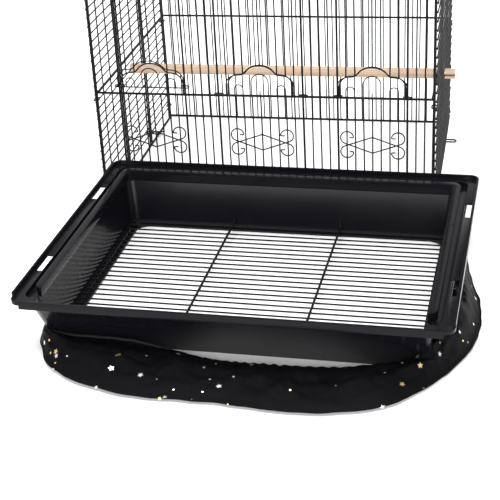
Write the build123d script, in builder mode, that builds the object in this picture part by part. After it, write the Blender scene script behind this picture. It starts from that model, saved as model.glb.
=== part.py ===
from build123d import *
from math import atan2, tan
import os

# Bird cage of welded wire panels, with its moulded base tray, floor grate and
# seed skirt. Millimetres, +Z up, floor at z = 0, origin under the middle of
# the whole group. The tray stands in front of the cage, off it.

# places on the floor
tray_x = 11.424
tray_y = -151.996
cage_offset_x = -44.3
cage_gap = 9.0               # tray's rear rim to the cage's front wires
cage_turn = 1.5              # degrees that the cage stands turned

# cage body
cage_width = 454.0           # between the side panels' wires
cage_depth = 354.0           # between the front and back panels' wires
cage_height = 600.0
bar_pitch = 11.2             # front, back and roof bars
bars_per_half = 20
row_pitch = 11.7             # side panels' level wires
thin_wire = 2.0
guide_wire = 2.8
band_wire = 3.2
post_wire = 3.2
strut_wire = 2.6
weld_gap = 0.02              # between the wires where they are welded
middle_band_z = 169.0
run_gap = 0.4                # clearance round anything that slides or turns
seat_gap = 0.4               # gap between panels that rest on each other
strut_places = (-0.36, -0.31, 0.31, 0.36)

# feeder doors, in bar pitches where a door meets the bars
feeder_spacing = 13
feeder_half_bars = 4
middle_guide_bars = 5
feeder_height = 40.0
feeder_shoulder = 0.65 * feeder_height
shoulder_reach = 0.5         # shares of a door's half width
dome_reach = 0.27
shoulder_rise = 1.5
shoulder_radii = [14.0, 9.0]
dome_radius = 22.0
feeder_wire = 1.8
feeder_hoop_wire = 1.6
hook_length = 9.0
side_arch_height = 14.0
middle_arch_height = 29.0
stub_height = 6.0
left_door_lift = 8.0
left_door_lean = 12.0

# main door in the upper front
main_door_half_bars = 7
main_door_low = cage_height * 0.55
main_door_high = cage_height * 5 / 6
main_door_wire = 2.4
main_door_lap = 4.0
pull_width = 16.0
pull_reach = 11.0
hinge_ring_inset = 20.0
hinge_ring_wire = 1.8

# scroll ornaments
scroll_z = 106.0
scroll_half_width = 31.0
scroll_half_height = 11.0
scroll_tail = 5.0
scroll_curl_radius = 8.5
scroll_curl_turn = 265.0
scroll_wire = 1.8

# roof
hatch_half_bars = 9
hatch_depth = 180.0
hatch_lap = 4.0
hatch_wire = 2.4
roof_cross_places = (-0.49, -0.36, 0.36, 0.49)

# perches, each straddling one side wire
perch_diameter = 14.5
lower_perch_row = 12
lower_perch_y = 2.0
upper_perch_row = 34
upper_perch_y = 36.0
perch_overhang = 15.0
perch_left_end = 2.0
perch_kerf = 2.6
perch_edge = 1.0

# corner hooks and tray clips
hook_wire = 1.8
hook_slack = 0.7
hook_rows = (1, 13, 31, 48)
clip_wire = 2.2
clip_width = 9.0
clip_reach = 14.0
clip_inside = 8.0
clip_half_spacing = 92.0

# base tray
rim_width = 490.0
rim_depth = 390.0
tray_height = 75.0
rim_corner = 12.0
plastic_wall = 2.5
lip_drop = 9.0
flange_drop = 5.0
flange_width = 13.0
channel_drop = 11.0
ridge_inset_side = 21.0
ridge_inset_end = 26.0
ridge_width = 9.0
foot_inset_side = 29.0
foot_inset_end = 39.0
front_band = 4.0             # the front wall's upright top band
wall_draft = 6.0
ledge_width_side = 11.5
ledge_width_end = 6.5
ledge_height = 8.0
ledge_step = 5.0
ledge_floor_width = 5.0
opening_corner = 16.0
slot_length = 40.0
slot_width = 8.0
slot_inset = 4.0
slot_half_spacing = 99.0

# floor grate
grate_pitch = 11.9
grate_half_rows = 12
grate_wire = 2.2
grate_cross_wire = 3.0
grate_cross_x = 71.0
grate_turn_up = 9.0
grate_turn_radius = 5.0
grate_side_gap = 2.0

# seed skirt
skirt_height = 26.0
skirt_wall_gap = 3.0
skirt_front_gap = 22.0
skirt_inner_corner = 24.0
elastic_width = 5.0
elastic_height = 3.0

half_width = cage_width / 2
half_depth = cage_depth / 2
cage_x = tray_x + cage_offset_x
cage_y = tray_y + rim_depth / 2 + cage_gap + half_depth
cage_place = Location((cage_x, cage_y, 0), (0, 0, cage_turn))
cage_frame = Plane(cage_place)
tray_frame = Plane(Location((tray_x, tray_y, 0)))
post_x = bar_pitch * bars_per_half
roof_cross_z = cage_height - strut_wire / 2
roof_wire_z = roof_cross_z - strut_wire / 2 - thin_wire / 2 - weld_gap
panel_top = roof_wire_z - thin_wire / 2 - seat_gap
band_step = thin_wire / 2 + band_wire / 2 + weld_gap
strut_step = thin_wire / 2 + strut_wire / 2 + weld_gap
side_band_step = strut_step + strut_wire / 2 + band_wire / 2 + weld_gap
guide_y = half_depth + (guide_wire - thin_wire) / 2
post_y = half_depth + (post_wire - thin_wire) / 2
strut_end_y = half_depth - band_step - band_wire / 2 - run_gap - strut_wire / 2
side_wire_half = half_depth - band_step - run_gap
bottom_band_z = band_wire / 2
top_band_z = panel_top - band_wire / 2
row_count = int((top_band_z - bottom_band_z - band_wire) / row_pitch)

os.makedirs("parts", exist_ok=True)


def save(body, name):
    body.part.label = name
    export_step(body.part, "parts/" + name + ".step")


def row_z(row):
    return bottom_band_z + row * row_pitch


def front_plane(x, y, z, lean=0.0):
    """A plane facing out of the cage's front, x along it and y up it."""
    return Plane(cage_place * Location((x, y, z), (90 + lean, 0, 0)))


def level_plane(x, y, z, lean=0.0):
    """A level plane in the cage, x along its front and y inwards."""
    return Plane(cage_place * Location((x, y, z), (lean, 0, 0)))


def uprights(x_places, y, foot, top, diameter):
    with Locations(*[(x, y, foot) for x in x_places]):
        Cylinder(diameter / 2, top - foot, align=(Align.CENTER, Align.CENTER, Align.MIN))


def level_wires(places, length, diameter, along_y=False):
    turn = (90, 0, 0) if along_y else (0, 90, 0)
    with Locations(*places):
        Cylinder(diameter / 2, length, rotation=turn)


def sweep_wire(path, diameter):
    """A round wire along a path that is already drawn."""
    with BuildSketch(Plane(path @ 0, z_dir=path % 0)) as section:
        Circle(diameter / 2)
    sweep(section.sketch, path=path)


def bent_wire(frame, points, radius, diameter):
    with BuildLine(frame) as route:
        FilletPolyline(*points, radius=radius)
    sweep_wire(route.line, diameter)


def arch_wire(frame, middle, half, height, diameter):
    """A hoop with two straight legs and a half-round top."""
    with BuildLine(frame) as route:
        Line((middle - half, 0), (middle - half, height - half))
        top = ThreePointArc((middle - half, height - half), (middle, height), (middle + half, height - half))
        Line(top @ 1, (middle + half, 0))
    sweep_wire(route.line, diameter)


def dome_line(half, height):
    """A feeder door's outline: two feet, two shoulders and a dome."""
    shoulder = height - feeder_height + feeder_shoulder
    left = [
        (-half, 0),
        (-half, shoulder),
        (-shoulder_reach * half, shoulder + shoulder_rise),
        (-dome_reach * half, height),
    ]
    right = [(-x, y) for x, y in reversed(left)]
    slope = atan2(height - shoulder - shoulder_rise, (shoulder_reach - dome_reach) * half)
    radii = shoulder_radii + [min(dome_radius, 0.95 * dome_reach * half / tan(slope / 2))]
    FilletPolyline(*left, *right, radius=radii + radii[::-1])


# ---- front panel: bars, bands, three feeder openings and the main doorway
feeder_middles = {
    "left": -feeder_spacing * bar_pitch,
    "middle": 0.0,
    "right": feeder_spacing * bar_pitch,
}
feeder_guides = {
    "left": feeder_half_bars * bar_pitch,
    "middle": middle_guide_bars * bar_pitch,
    "right": feeder_half_bars * bar_pitch,
}
feeder_half = feeder_half_bars * bar_pitch
door_rest_z = middle_band_z + band_wire / 2 + seat_gap + feeder_wire / 2
opening_half = feeder_half - guide_wire / 2 - thin_wire / 2 - weld_gap
opening_height = feeder_height + door_rest_z - middle_band_z
main_half = main_door_half_bars * bar_pitch
guide_x = sorted(m + side * feeder_guides[n] for n, m in feeder_middles.items() for side in (-1, 1))


def is_guide(x):
    return any(abs(x - g) < bar_pitch / 2 for g in guide_x)


all_bars = [i * bar_pitch for i in range(1 - bars_per_half, bars_per_half)]
plain_bars = [x for x in all_bars if not is_guide(x) and abs(x) > main_half - 1]
split_bars = [x for x in all_bars if not is_guide(x) and abs(x) < main_half - 1]
split_guides = [x for x in guide_x if abs(x) < main_half - 1]
plain_guides = [x for x in guide_x if abs(x) > main_half - 1]

with BuildPart(cage_frame) as front_panel:
    uprights(plain_bars, -half_depth, 0, panel_top, thin_wire)
    uprights(split_bars, -half_depth, 0, main_door_low, thin_wire)
    uprights(split_bars + split_guides, -half_depth, main_door_high, panel_top, thin_wire)
    uprights(split_guides, -guide_y, 0, main_door_low, guide_wire)
    uprights(plain_guides, -guide_y, 0, panel_top, guide_wire)
    uprights([-post_x, post_x], -post_y, 0, panel_top, post_wire)
    for middle in feeder_middles.values():
        with BuildSketch(front_plane(middle, -half_depth, middle_band_z)):
            with BuildLine():
                dome_line(opening_half, opening_height)
                Line((opening_half, 0), (-opening_half, 0))
            make_face()
            offset(amount=(thin_wire + weld_gap) / 2)
        extrude(amount=guide_wire, both=True, mode=Mode.SUBTRACT)
    for middle in feeder_middles.values():
        with BuildLine(front_plane(middle, -half_depth, middle_band_z)) as opening_edge:
            dome_line(opening_half, opening_height)
        sweep_wire(opening_edge.line, thin_wire)
    band_heights = (bottom_band_z, middle_band_z, main_door_low, main_door_high, top_band_z)
    level_wires([(0, band_step - half_depth, z) for z in band_heights], 2 * post_x + post_wire, band_wire)
save(front_panel, "front_panel")

with BuildPart(cage_frame) as back_panel:
    uprights(all_bars, half_depth, 0, panel_top, thin_wire)
    uprights([-post_x, post_x], post_y, 0, panel_top, post_wire)
    back_heights = (bottom_band_z, middle_band_z, (middle_band_z + panel_top) / 2, top_band_z)
    level_wires([(0, half_depth - band_step, z) for z in back_heights], 2 * post_x + post_wire, band_wire)
save(back_panel, "back_panel")

# ---- side panels: level wires on the outside, struts and bands inside
struts = [-strut_end_y, strut_end_y] + [share * half_depth for share in strut_places]
rows = [row_z(i + 1) for i in range(row_count)]
side_bands = (bottom_band_z, middle_band_z, (middle_band_z + panel_top) / 2, top_band_z)
for side, side_name in ((-1, "left_panel"), (1, "right_panel")):
    wire_x = side * half_width
    strut_x = wire_x - side * strut_step
    band_x = wire_x - side * side_band_step
    with BuildPart(cage_frame) as side_panel:
        with Locations(*[(strut_x, y, 0) for y in struts]):
            Cylinder(strut_wire / 2, panel_top, align=(Align.CENTER, Align.CENTER, Align.MIN))
        level_wires([(wire_x, 0, z) for z in rows], 2 * side_wire_half, thin_wire, along_y=True)
        band_length = 2 * strut_end_y + strut_wire
        level_wires([(band_x, 0, z) for z in side_bands], band_length, band_wire, along_y=True)
    save(side_panel, side_name)

# ---- roof panel with the hatchway, and its hatch
hatch_half = hatch_half_bars * bar_pitch
hatch_front = -hatch_depth / 2
hatch_back = hatch_depth / 2
roof_end = half_depth + post_wire / 2
roof_bars = [i * bar_pitch for i in range(-bars_per_half, bars_per_half + 1)]
long_roof = [x for x in roof_bars if abs(x) > hatch_half - 1]
short_roof = [x for x in roof_bars if abs(x) < hatch_half - 1]
short_length = roof_end + hatch_front
with BuildPart(cage_frame) as roof_panel:
    level_wires([(x, 0, roof_wire_z) for x in long_roof], 2 * roof_end, thin_wire, along_y=True)
    for side in (-1, 1):
        middle_y = side * (hatch_depth / 2 + short_length / 2)
        level_wires([(x, middle_y, roof_wire_z) for x in short_roof], short_length, thin_wire, along_y=True)
    cross_y = [share * cage_depth for share in roof_cross_places] + [hatch_front, hatch_back]
    level_wires([(0, y, roof_cross_z) for y in cross_y], 2 * post_x + post_wire, strut_wire)
save(roof_panel, "roof_panel")

hatch_z = roof_cross_z + strut_wire / 2 + run_gap + hatch_wire / 2
ring_radius = hatch_z - roof_cross_z
hatch_side = hatch_half - bar_pitch / 2
hatch_tip = hatch_front - hatch_lap
hatch_length = hatch_back - hatch_tip
with BuildPart(cage_frame) as roof_hatch:
    middle_y = (hatch_back + hatch_tip) / 2
    inner = [x for x in short_roof if abs(x) < hatch_side - bar_pitch]
    wire_z = hatch_z + hatch_wire / 2 + thin_wire / 2 + weld_gap
    level_wires([(x, middle_y, wire_z) for x in inner], hatch_length, thin_wire, along_y=True)
    level_wires([(0, y, hatch_z) for y in (hatch_back, hatch_tip)], 2 * hatch_side, hatch_wire)
    edge_z = hatch_z + hatch_wire + weld_gap
    edges = [(side * (hatch_side - hatch_wire / 2), middle_y, edge_z) for side in (-1, 1)]
    level_wires(edges, hatch_length, hatch_wire, along_y=True)
    for side in (-1, 1):
        ring_x = side * (hatch_side - hinge_ring_inset)
        with Locations(Location((ring_x, hatch_back, roof_cross_z), (0, 90, 0))):
            Torus(ring_radius, hinge_ring_wire / 2)
save(roof_hatch, "roof_hatch")

# ---- main door, swinging on the bar at its left edge
main_door_y = -half_depth - thin_wire / 2 - run_gap - main_door_wire / 2
main_ring_radius = -half_depth - main_door_y
door_right = main_half + main_door_lap
door_low = main_door_low - main_door_lap
door_high = main_door_high + main_door_lap
with BuildPart(cage_frame) as main_door:
    uprights([-main_half, door_right], main_door_y, door_low, door_high, main_door_wire)
    rail_y = main_door_y - main_door_wire - weld_gap
    inner_bars = [i * bar_pitch for i in range(1 - main_door_half_bars, main_door_half_bars)]
    bar_y = rail_y + main_door_wire / 2 + thin_wire / 2 + weld_gap
    rail_middle = (door_right - main_half) / 2
    rail_length = door_right + main_half + main_door_wire
    rail_heights = (door_low, (door_low + door_high) / 2, door_high)
    level_wires([(rail_middle, rail_y, z) for z in rail_heights], rail_length, main_door_wire)
    uprights(inner_bars, bar_y, door_low, door_high, thin_wire)
    for ring_z in (main_door_low + hinge_ring_inset, main_door_high - hinge_ring_inset):
        with Locations((-main_half, -half_depth, ring_z)):
            Torus(main_ring_radius, hinge_ring_wire / 2)
    pull_z = (door_low + door_high) / 2
    pull_top = pull_z + hinge_ring_inset
    pull_points = [
        (0, 0, 0),
        (0, -pull_reach, 0),
        (0, -pull_reach, -pull_width),
        (0, 0, -pull_width),
    ]
    bent_wire(level_plane(door_right, main_door_y, pull_top), pull_points, 3.0, feeder_wire)
save(main_door, "main_door")

# ---- feeder doors: a bar hooked round two guides, the domed outline, hoops
loop_radius = guide_wire / 2 + run_gap + feeder_wire / 2
for name, middle in feeder_middles.items():
    lift = left_door_lift if name == "left" else 0.0
    lean = left_door_lean if name == "left" else 0.0
    bar_y = -guide_y - loop_radius
    face = front_plane(middle, bar_y, door_rest_z + lift, lean)
    level = level_plane(middle, bar_y, door_rest_z + lift, lean)
    guide = feeder_guides[name]
    with BuildPart() as feeder_door:
        with BuildLine(level) as hooked_bar:
            far = guide + loop_radius
            back_y = 2 * loop_radius
            Line((hook_length - far, back_y), (-far, back_y))
            bend_left = ThreePointArc((-far, back_y), (-far - loop_radius, loop_radius), (-far, 0))
            bar = Line(bend_left @ 1, (far, 0))
            bend_right = ThreePointArc(bar @ 1, (far + loop_radius, loop_radius), (far, back_y))
            Line(bend_right @ 1, (far - hook_length, back_y))
        sweep_wire(hooked_bar.line, feeder_wire)
        with BuildLine(face) as outline:
            dome_line(feeder_half, feeder_height)
        sweep_wire(outline.line, feeder_hoop_wire)
        arch_wire(face, 0, bar_pitch, middle_arch_height, feeder_hoop_wire)
        arch_wire(face, -2.5 * bar_pitch, bar_pitch / 2, side_arch_height, feeder_hoop_wire)
        arch_wire(face, 2.5 * bar_pitch, bar_pitch / 2, side_arch_height, feeder_hoop_wire)
        with BuildLine(face) as stub:
            Line((0, 0), (0, stub_height))
        sweep_wire(stub.line, feeder_hoop_wire)
    save(feeder_door, "feeder_door_" + name)

# ---- scroll ornaments, one under each feeder door
for name, middle in feeder_middles.items():
    scroll_y = -half_depth - thin_wire / 2 - scroll_wire / 2 - weld_gap
    with BuildPart() as scroll:
        for flip in (1, -1):
            slope = flip * scroll_half_height / scroll_half_width
            end_x = scroll_half_width + scroll_tail
            with BuildLine(front_plane(middle, scroll_y, scroll_z)) as curl_line:
                ridge = FilletPolyline(
                    (-end_x, -scroll_tail * slope),
                    (0, flip * scroll_half_height),
                    (end_x, -scroll_tail * slope),
                    radius=2.0,
                )
                JernArc(ridge @ 1, ridge % 1, scroll_curl_radius, -flip * scroll_curl_turn)
                JernArc(ridge @ 0, -(ridge % 0), scroll_curl_radius, flip * scroll_curl_turn)
            sweep_wire(curl_line.wire(), scroll_wire)
    save(scroll, "scroll_" + name)

# ---- perches: dowels with a kerf in each end over one side wire
perch_rows = {
    "lower_perch": (lower_perch_row, lower_perch_y),
    "upper_perch": (upper_perch_row, upper_perch_y),
}
for perch_name, (row, place_y) in perch_rows.items():
    left_end = -half_width - perch_left_end
    right_end = half_width + perch_overhang
    kerf_depth = thin_wire / 2 + run_gap
    with BuildPart() as perch:
        end_plane = Plane(cage_place * Location((left_end, place_y, row_z(row)), (0, 90, 0)))
        with BuildSketch(end_plane):
            Circle(perch_diameter / 2)
        extrude(amount=right_end - left_end)
        chamfer(perch.edges().filter_by(GeomType.CIRCLE), perch_edge)
        for start, end in (
            (left_end - 1, kerf_depth - half_width),
            (half_width - kerf_depth, right_end + 1),
        ):
            cut_place = cage_place * Location(((start + end) / 2, place_y, row_z(row)))
            with Locations(cut_place):
                Box(end - start, perch_diameter + 2, perch_kerf, mode=Mode.SUBTRACT)
    save(perch, perch_name)

# ---- hooks that tie the panels' corners together
hook_middle_x = (post_x + half_width - strut_step) / 2
hook_middle_y = (post_y + strut_end_y) / 2
hook_span = post_y - strut_end_y
hook_inner = post_wire / 2 + hook_slack
with BuildPart(cage_frame) as corner_hooks:
    for row in hook_rows:
        height = row_z(row) + row_pitch / 2
        for side_x in (-1, 1):
            for side_y in (-1, 1):
                place = (side_x * hook_middle_x, side_y * hook_middle_y, height)
                with BuildSketch(Plane(cage_place * Location(place))):
                    outer = hook_span / 2 + hook_inner + hook_wire
                    inner_size = hook_span + 2 * hook_inner
                    RectangleRounded(2 * (hook_inner + hook_wire), 2 * outer, hook_inner + hook_wire - 0.05)
                    RectangleRounded(2 * hook_inner, inner_size, hook_inner - 0.05, mode=Mode.SUBTRACT)
                extrude(amount=hook_wire / 2, both=True)
save(corner_hooks, "corner_hooks")

# ---- clips that reach into the tray's slots, on the side panels' bottom band
clip_z = bottom_band_z + band_wire / 2 + clip_wire / 2 + weld_gap
for side, side_word in ((-1, "left"), (1, "right")):
    for end, end_word in ((-1, "front"), (1, "rear")):
        near = side * (half_width - side_band_step - clip_inside)
        far = side * (half_width + clip_reach)
        middle = end * clip_half_spacing
        legs = [
            (near, middle - clip_width / 2, 0),
            (far, middle - clip_width / 2, 0),
            (far, middle + clip_width / 2, 0),
            (near, middle + clip_width / 2, 0),
        ]
        with BuildPart() as clip:
            bent_wire(level_plane(0, 0, clip_z), legs, clip_width / 2 - 0.1, clip_wire)
        save(clip, "tray_clip_" + side_word + "_" + end_word)


# ---- base tray: drafted walls, rim with a lip, channel and ridge, open floor
def ring(low, high, outer_side, outer_end, inner_side, inner_end, corner):
    """A level frame between two insets from the rim's edge."""
    with BuildSketch(tray_frame.offset(low)) as frame:
        RectangleRounded(rim_width - 2 * outer_side, rim_depth - 2 * outer_end, corner)
        inner_width = rim_width - 2 * inner_side
        inner_depth = rim_depth - 2 * inner_end
        inner_corner = max(corner - (inner_side - outer_side), 2.0)
        RectangleRounded(inner_width, inner_depth, inner_corner, mode=Mode.SUBTRACT)
    extrude(frame.sketch, amount=high - low)


def block(low, high, low_insets, high_insets, corner, mode):
    """A drafted block between two levels, given by its side, rear and front insets at each."""
    levels = []
    for height, (side, rear, front) in ((low, low_insets), (high, high_insets)):
        with BuildSketch(tray_frame.offset(height)) as level:
            with Locations((0, (front - rear) / 2)):
                RectangleRounded(rim_width - 2 * side, rim_depth - rear - front, corner)
        levels.append(level.sketch)
    loft(levels, mode=mode)


flange_top = tray_height - flange_drop
channel_top = tray_height - channel_drop
channel_low = channel_top - plastic_wall
step_inset = flange_width - plastic_wall
top_insets = (foot_inset_side - wall_draft, foot_inset_end - wall_draft, 0.5 * front_band)
foot_insets = (foot_inset_side, foot_inset_end, foot_inset_end)
inner_top = tuple(inset + plastic_wall for inset in top_insets)
inner_foot = tuple(inset + plastic_wall for inset in foot_insets)
opening_insets = (inner_foot[0] + ledge_width_side, inner_foot[1] + ledge_width_end)
step_insets = (opening_insets[0] - ledge_floor_width, opening_insets[1] - ledge_floor_width)
ridge_end_side = ridge_inset_side + ridge_width
ridge_end_end = ridge_inset_end + ridge_width
with BuildPart() as base_tray:
    block(0, channel_top, foot_insets, top_insets, rim_corner, Mode.ADD)
    ring(channel_low, channel_top, step_inset, step_inset, ridge_end_side, ridge_end_end, rim_corner)
    ridge_insets = (ridge_inset_side, ridge_inset_end, ridge_end_side, ridge_end_end)
    ring(channel_low, tray_height, *ridge_insets, rim_corner)
    ring(channel_low, flange_top, step_inset, step_inset, flange_width, flange_width, rim_corner)
    ring(flange_top - plastic_wall, flange_top, 0, 0, flange_width, flange_width, rim_corner)
    ring(tray_height - lip_drop, tray_height, 0, 0, plastic_wall, plastic_wall, rim_corner)
    band_middle = (0, (front_band - rim_depth) / 2, (channel_low + flange_top) / 2)
    with Locations(tray_frame.location * Location(band_middle)):
        Box(rim_width - 2 * rim_corner, front_band, flange_top - channel_low)
    block(ledge_height, channel_top, inner_foot, inner_top, rim_corner, Mode.SUBTRACT)
    with BuildSketch(tray_frame.offset(channel_low)):
        with Locations((0, (front_band - ridge_end_end) / 2)):
            width = rim_width - 2 * ridge_end_side
            depth = rim_depth - front_band - ridge_end_end
            RectangleRounded(width, depth, 3.0)
    extrude(amount=tray_height - channel_low, mode=Mode.SUBTRACT)
    front_strip = (0, (flange_width - rim_depth) / 2, tray_height)
    with Locations(tray_frame.location * Location(front_strip)):
        Box(rim_width + 2, flange_width, 2 * flange_drop, mode=Mode.SUBTRACT)
    with BuildSketch(tray_frame.offset(ledge_height - ledge_step)):
        width = rim_width - 2 * step_insets[0]
        depth = rim_depth - 2 * step_insets[1]
        RectangleRounded(width, depth, opening_corner + ledge_floor_width)
    extrude(amount=ledge_step, mode=Mode.SUBTRACT)
    with BuildSketch(tray_frame):
        width = rim_width - 2 * opening_insets[0]
        depth = rim_depth - 2 * opening_insets[1]
        RectangleRounded(width, depth, opening_corner)
    extrude(amount=ledge_height, mode=Mode.SUBTRACT)
    slot_x = rim_width / 2 - slot_inset - slot_width / 2
    slot_places = [(x, y) for x in (-slot_x, slot_x) for y in (-slot_half_spacing, slot_half_spacing)]
    with BuildSketch(tray_frame.offset(flange_top - plastic_wall)):
        with Locations(*slot_places):
            RectangleRounded(slot_width, slot_length, 1.5)
    extrude(amount=plastic_wall, mode=Mode.SUBTRACT)
    ridge_edges = base_tray.edges().group_by(Axis.Z)[-1]
    fillet(ridge_edges, 0.45 * plastic_wall)
save(base_tray, "base_tray")

# ---- floor grate: level wires on two cross wires with turned-up ends
wire_z = ledge_height + seat_gap + grate_wire / 2
cross_z = wire_z + grate_wire / 2 + grate_cross_wire / 2 + weld_gap
grate_half_x = rim_width / 2 - inner_foot[0] - grate_side_gap - 1
grate_half_y = rim_depth / 2 - inner_foot[1] - grate_side_gap
with BuildPart(tray_frame) as floor_grate:
    grate_rows = [(0, i * grate_pitch, wire_z) for i in range(-grate_half_rows, grate_half_rows + 1)]
    level_wires(grate_rows, 2 * grate_half_x, grate_wire)
save(floor_grate, "floor_grate")

for side, side_word in ((-1, "left"), (1, "right")):
    cross_points = [
        (side * grate_cross_x, -grate_half_y, cross_z + grate_turn_up),
        (side * grate_cross_x, -grate_half_y, cross_z),
        (side * grate_cross_x, grate_half_y, cross_z),
        (side * grate_cross_x, grate_half_y, cross_z + grate_turn_up),
    ]
    with BuildPart() as grate_cross:
        bent_wire(tray_frame, cross_points, grate_turn_radius, grate_cross_wire)
    save(grate_cross, "grate_cross_" + side_word)

# ---- seed skirt: a gathered sheer band lying round the tray, and its elastic
skirt_outline = [
    (-215, 172), (-236, 90), (-238, -60), (-224, -170), (-190, -222), (-120, -254),
    (0, -260), (120, -262), (180, -240), (232, -175), (262, -100), (264, -30),
    (248, 45), (236, 110), (205, 172),
]
skirt_hole_width = rim_width - 2 * top_insets[0] + 2 * skirt_wall_gap - wall_draft
skirt_rear = rim_depth / 2 - top_insets[1] + skirt_wall_gap
skirt_front = foot_inset_end - rim_depth / 2 - skirt_front_gap
skirt_hole_depth = skirt_rear - skirt_front
skirt_hole_y = (skirt_rear + skirt_front) / 2
with BuildPart(tray_frame) as seed_skirt:
    with BuildSketch(tray_frame):
        with BuildLine():
            rear = Line(skirt_outline[-1], skirt_outline[0])
            Spline(*skirt_outline, tangents=((-0.6, -1), (-0.6, 1)))
        make_face()
        with Locations((0, skirt_hole_y)):
            hole_size = (skirt_hole_width, skirt_hole_depth)
            RectangleRounded(*hole_size, skirt_inner_corner, mode=Mode.SUBTRACT)
    extrude(amount=skirt_height)
save(seed_skirt, "seed_skirt")

with BuildPart() as skirt_elastic:
    with BuildSketch(tray_frame.offset(skirt_height + run_gap)):
        with Locations((0, skirt_hole_y)):
            band = 2 * elastic_width
            outer_size = (hole_size[0] + band, hole_size[1] + band)
            RectangleRounded(*outer_size, skirt_inner_corner + elastic_width)
            RectangleRounded(*hole_size, skirt_inner_corner, mode=Mode.SUBTRACT)
    extrude(amount=elastic_height)
save(skirt_elastic, "skirt_elastic")
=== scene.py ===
import math

import bmesh
import bpy
from mathutils import Matrix, Vector, noise


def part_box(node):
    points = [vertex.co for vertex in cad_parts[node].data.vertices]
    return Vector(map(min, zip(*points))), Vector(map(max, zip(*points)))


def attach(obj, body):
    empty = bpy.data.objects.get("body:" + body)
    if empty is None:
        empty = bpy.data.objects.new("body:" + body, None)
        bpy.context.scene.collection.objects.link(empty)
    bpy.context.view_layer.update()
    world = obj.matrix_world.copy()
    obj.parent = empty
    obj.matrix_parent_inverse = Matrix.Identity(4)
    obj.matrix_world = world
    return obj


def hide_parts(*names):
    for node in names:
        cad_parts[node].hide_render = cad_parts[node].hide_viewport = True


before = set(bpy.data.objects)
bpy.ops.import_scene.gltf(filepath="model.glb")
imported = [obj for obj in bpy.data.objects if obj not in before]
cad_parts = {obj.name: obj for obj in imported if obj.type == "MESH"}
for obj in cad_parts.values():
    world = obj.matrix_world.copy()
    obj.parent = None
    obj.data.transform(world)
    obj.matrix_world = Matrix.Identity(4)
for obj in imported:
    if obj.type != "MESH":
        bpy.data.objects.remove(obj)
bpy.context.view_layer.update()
scene = bpy.context.scene
print("frame loaded")


# where the tray and the cage stand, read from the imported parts
def middleOf(node):
    low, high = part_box(node)
    return (low + high) / 2


trayMiddle = middleOf("base_tray")
frontMiddle = middleOf("front_panel")
backMiddle = middleOf("back_panel")
cageMiddle = (frontMiddle + backMiddle) / 2
cageTurn = -math.atan2(backMiddle.x - frontMiddle.x, backMiddle.y - frontMiddle.y)
trayPlace = Matrix.Translation((trayMiddle.x, trayMiddle.y, 0))
cagePlace = Matrix.Translation((cageMiddle.x, cageMiddle.y, 0)) @ Matrix.Rotation(cageTurn, 4, "Z")


# node helpers
def addNode(tree, kind, inputs=None, **settings):
    node = tree.nodes.new(kind)
    for key, value in settings.items():
        setattr(node, key, value)
    for key, value in (inputs or {}).items():
        if isinstance(value, bpy.types.NodeSocket):
            tree.links.new(value, node.inputs[key])
        else:
            node.inputs[key].default_value = value
    return node


def startGroup(name, kind, inputs, outputs):
    tree = bpy.data.node_groups.new(name, kind)
    for label, socketKind, default in inputs:
        socket = tree.interface.new_socket(label, in_out="INPUT", socket_type=socketKind)
        if default is not None:
            socket.default_value = default
    for label, socketKind in outputs:
        tree.interface.new_socket(label, in_out="OUTPUT", socket_type=socketKind)
    given = tree.nodes.new("NodeGroupInput").outputs
    return tree, given, tree.nodes.new("NodeGroupOutput").inputs


def calc(tree, operation, first, second=0.0, third=0.0):
    inputs = {0: first, 1: second, 2: third}
    return addNode(tree, "ShaderNodeMath", inputs, operation=operation).outputs[0]


def spread(tree, value, low, high):  # a 0 to 1 mask turned into another range
    return addNode(tree, "ShaderNodeMapRange",
                   {"Value": value, "To Min": low, "To Max": high}).outputs[0]


def mixColor(tree, factor, first, second):
    inputs = {0: factor, 6: (*first, 1.0), 7: (*second, 1.0)}
    return addNode(tree, "ShaderNodeMix", inputs, data_type="RGBA").outputs[2]


# surface effects that several materials share
def makeWearGroup():  # smudges for the gloss, pits and scratches for the height
    tree, given, put = startGroup(
        "surfaceWear", "ShaderNodeTree",
        [("Vector", "NodeSocketVector", None), ("Smudge Scale", "NodeSocketFloat", 20.0),
         ("Pit Scale", "NodeSocketFloat", 900.0), ("Scratch Scale", "NodeSocketFloat", 60.0)],
        [("Smudge", "NodeSocketFloat"), ("Dust", "NodeSocketFloat"), ("Height", "NodeSocketFloat")])
    broad = addNode(tree, "ShaderNodeTexNoise",
                    {"Vector": given["Vector"], "Scale": given["Smudge Scale"], "Detail": 5.0,
                     "Roughness": 0.6})
    tree.links.new(spread(tree, broad.outputs[0], -0.4, 1.4), put["Smudge"])
    fine = addNode(tree, "ShaderNodeTexNoise",
                   {"Vector": given["Vector"], "Scale": given["Pit Scale"], "Detail": 2.0})
    long = addNode(tree, "ShaderNodeVectorMath", {0: given["Vector"], 1: (1.0, 0.06, 0.3)},
                   operation="MULTIPLY")
    lines = addNode(tree, "ShaderNodeTexNoise",
                    {"Vector": long.outputs[0], "Scale": given["Scratch Scale"], "Detail": 8.0,
                     "Roughness": 0.8})
    specks = calc(tree, "GREATER_THAN", fine.outputs[0], 0.68)
    tree.links.new(calc(tree, "MULTIPLY", specks, broad.outputs[0]), put["Dust"])
    both = calc(tree, "MULTIPLY_ADD", lines.outputs[0], 0.35, fine.outputs[0])
    tree.links.new(both, put["Height"])
    return tree


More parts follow.
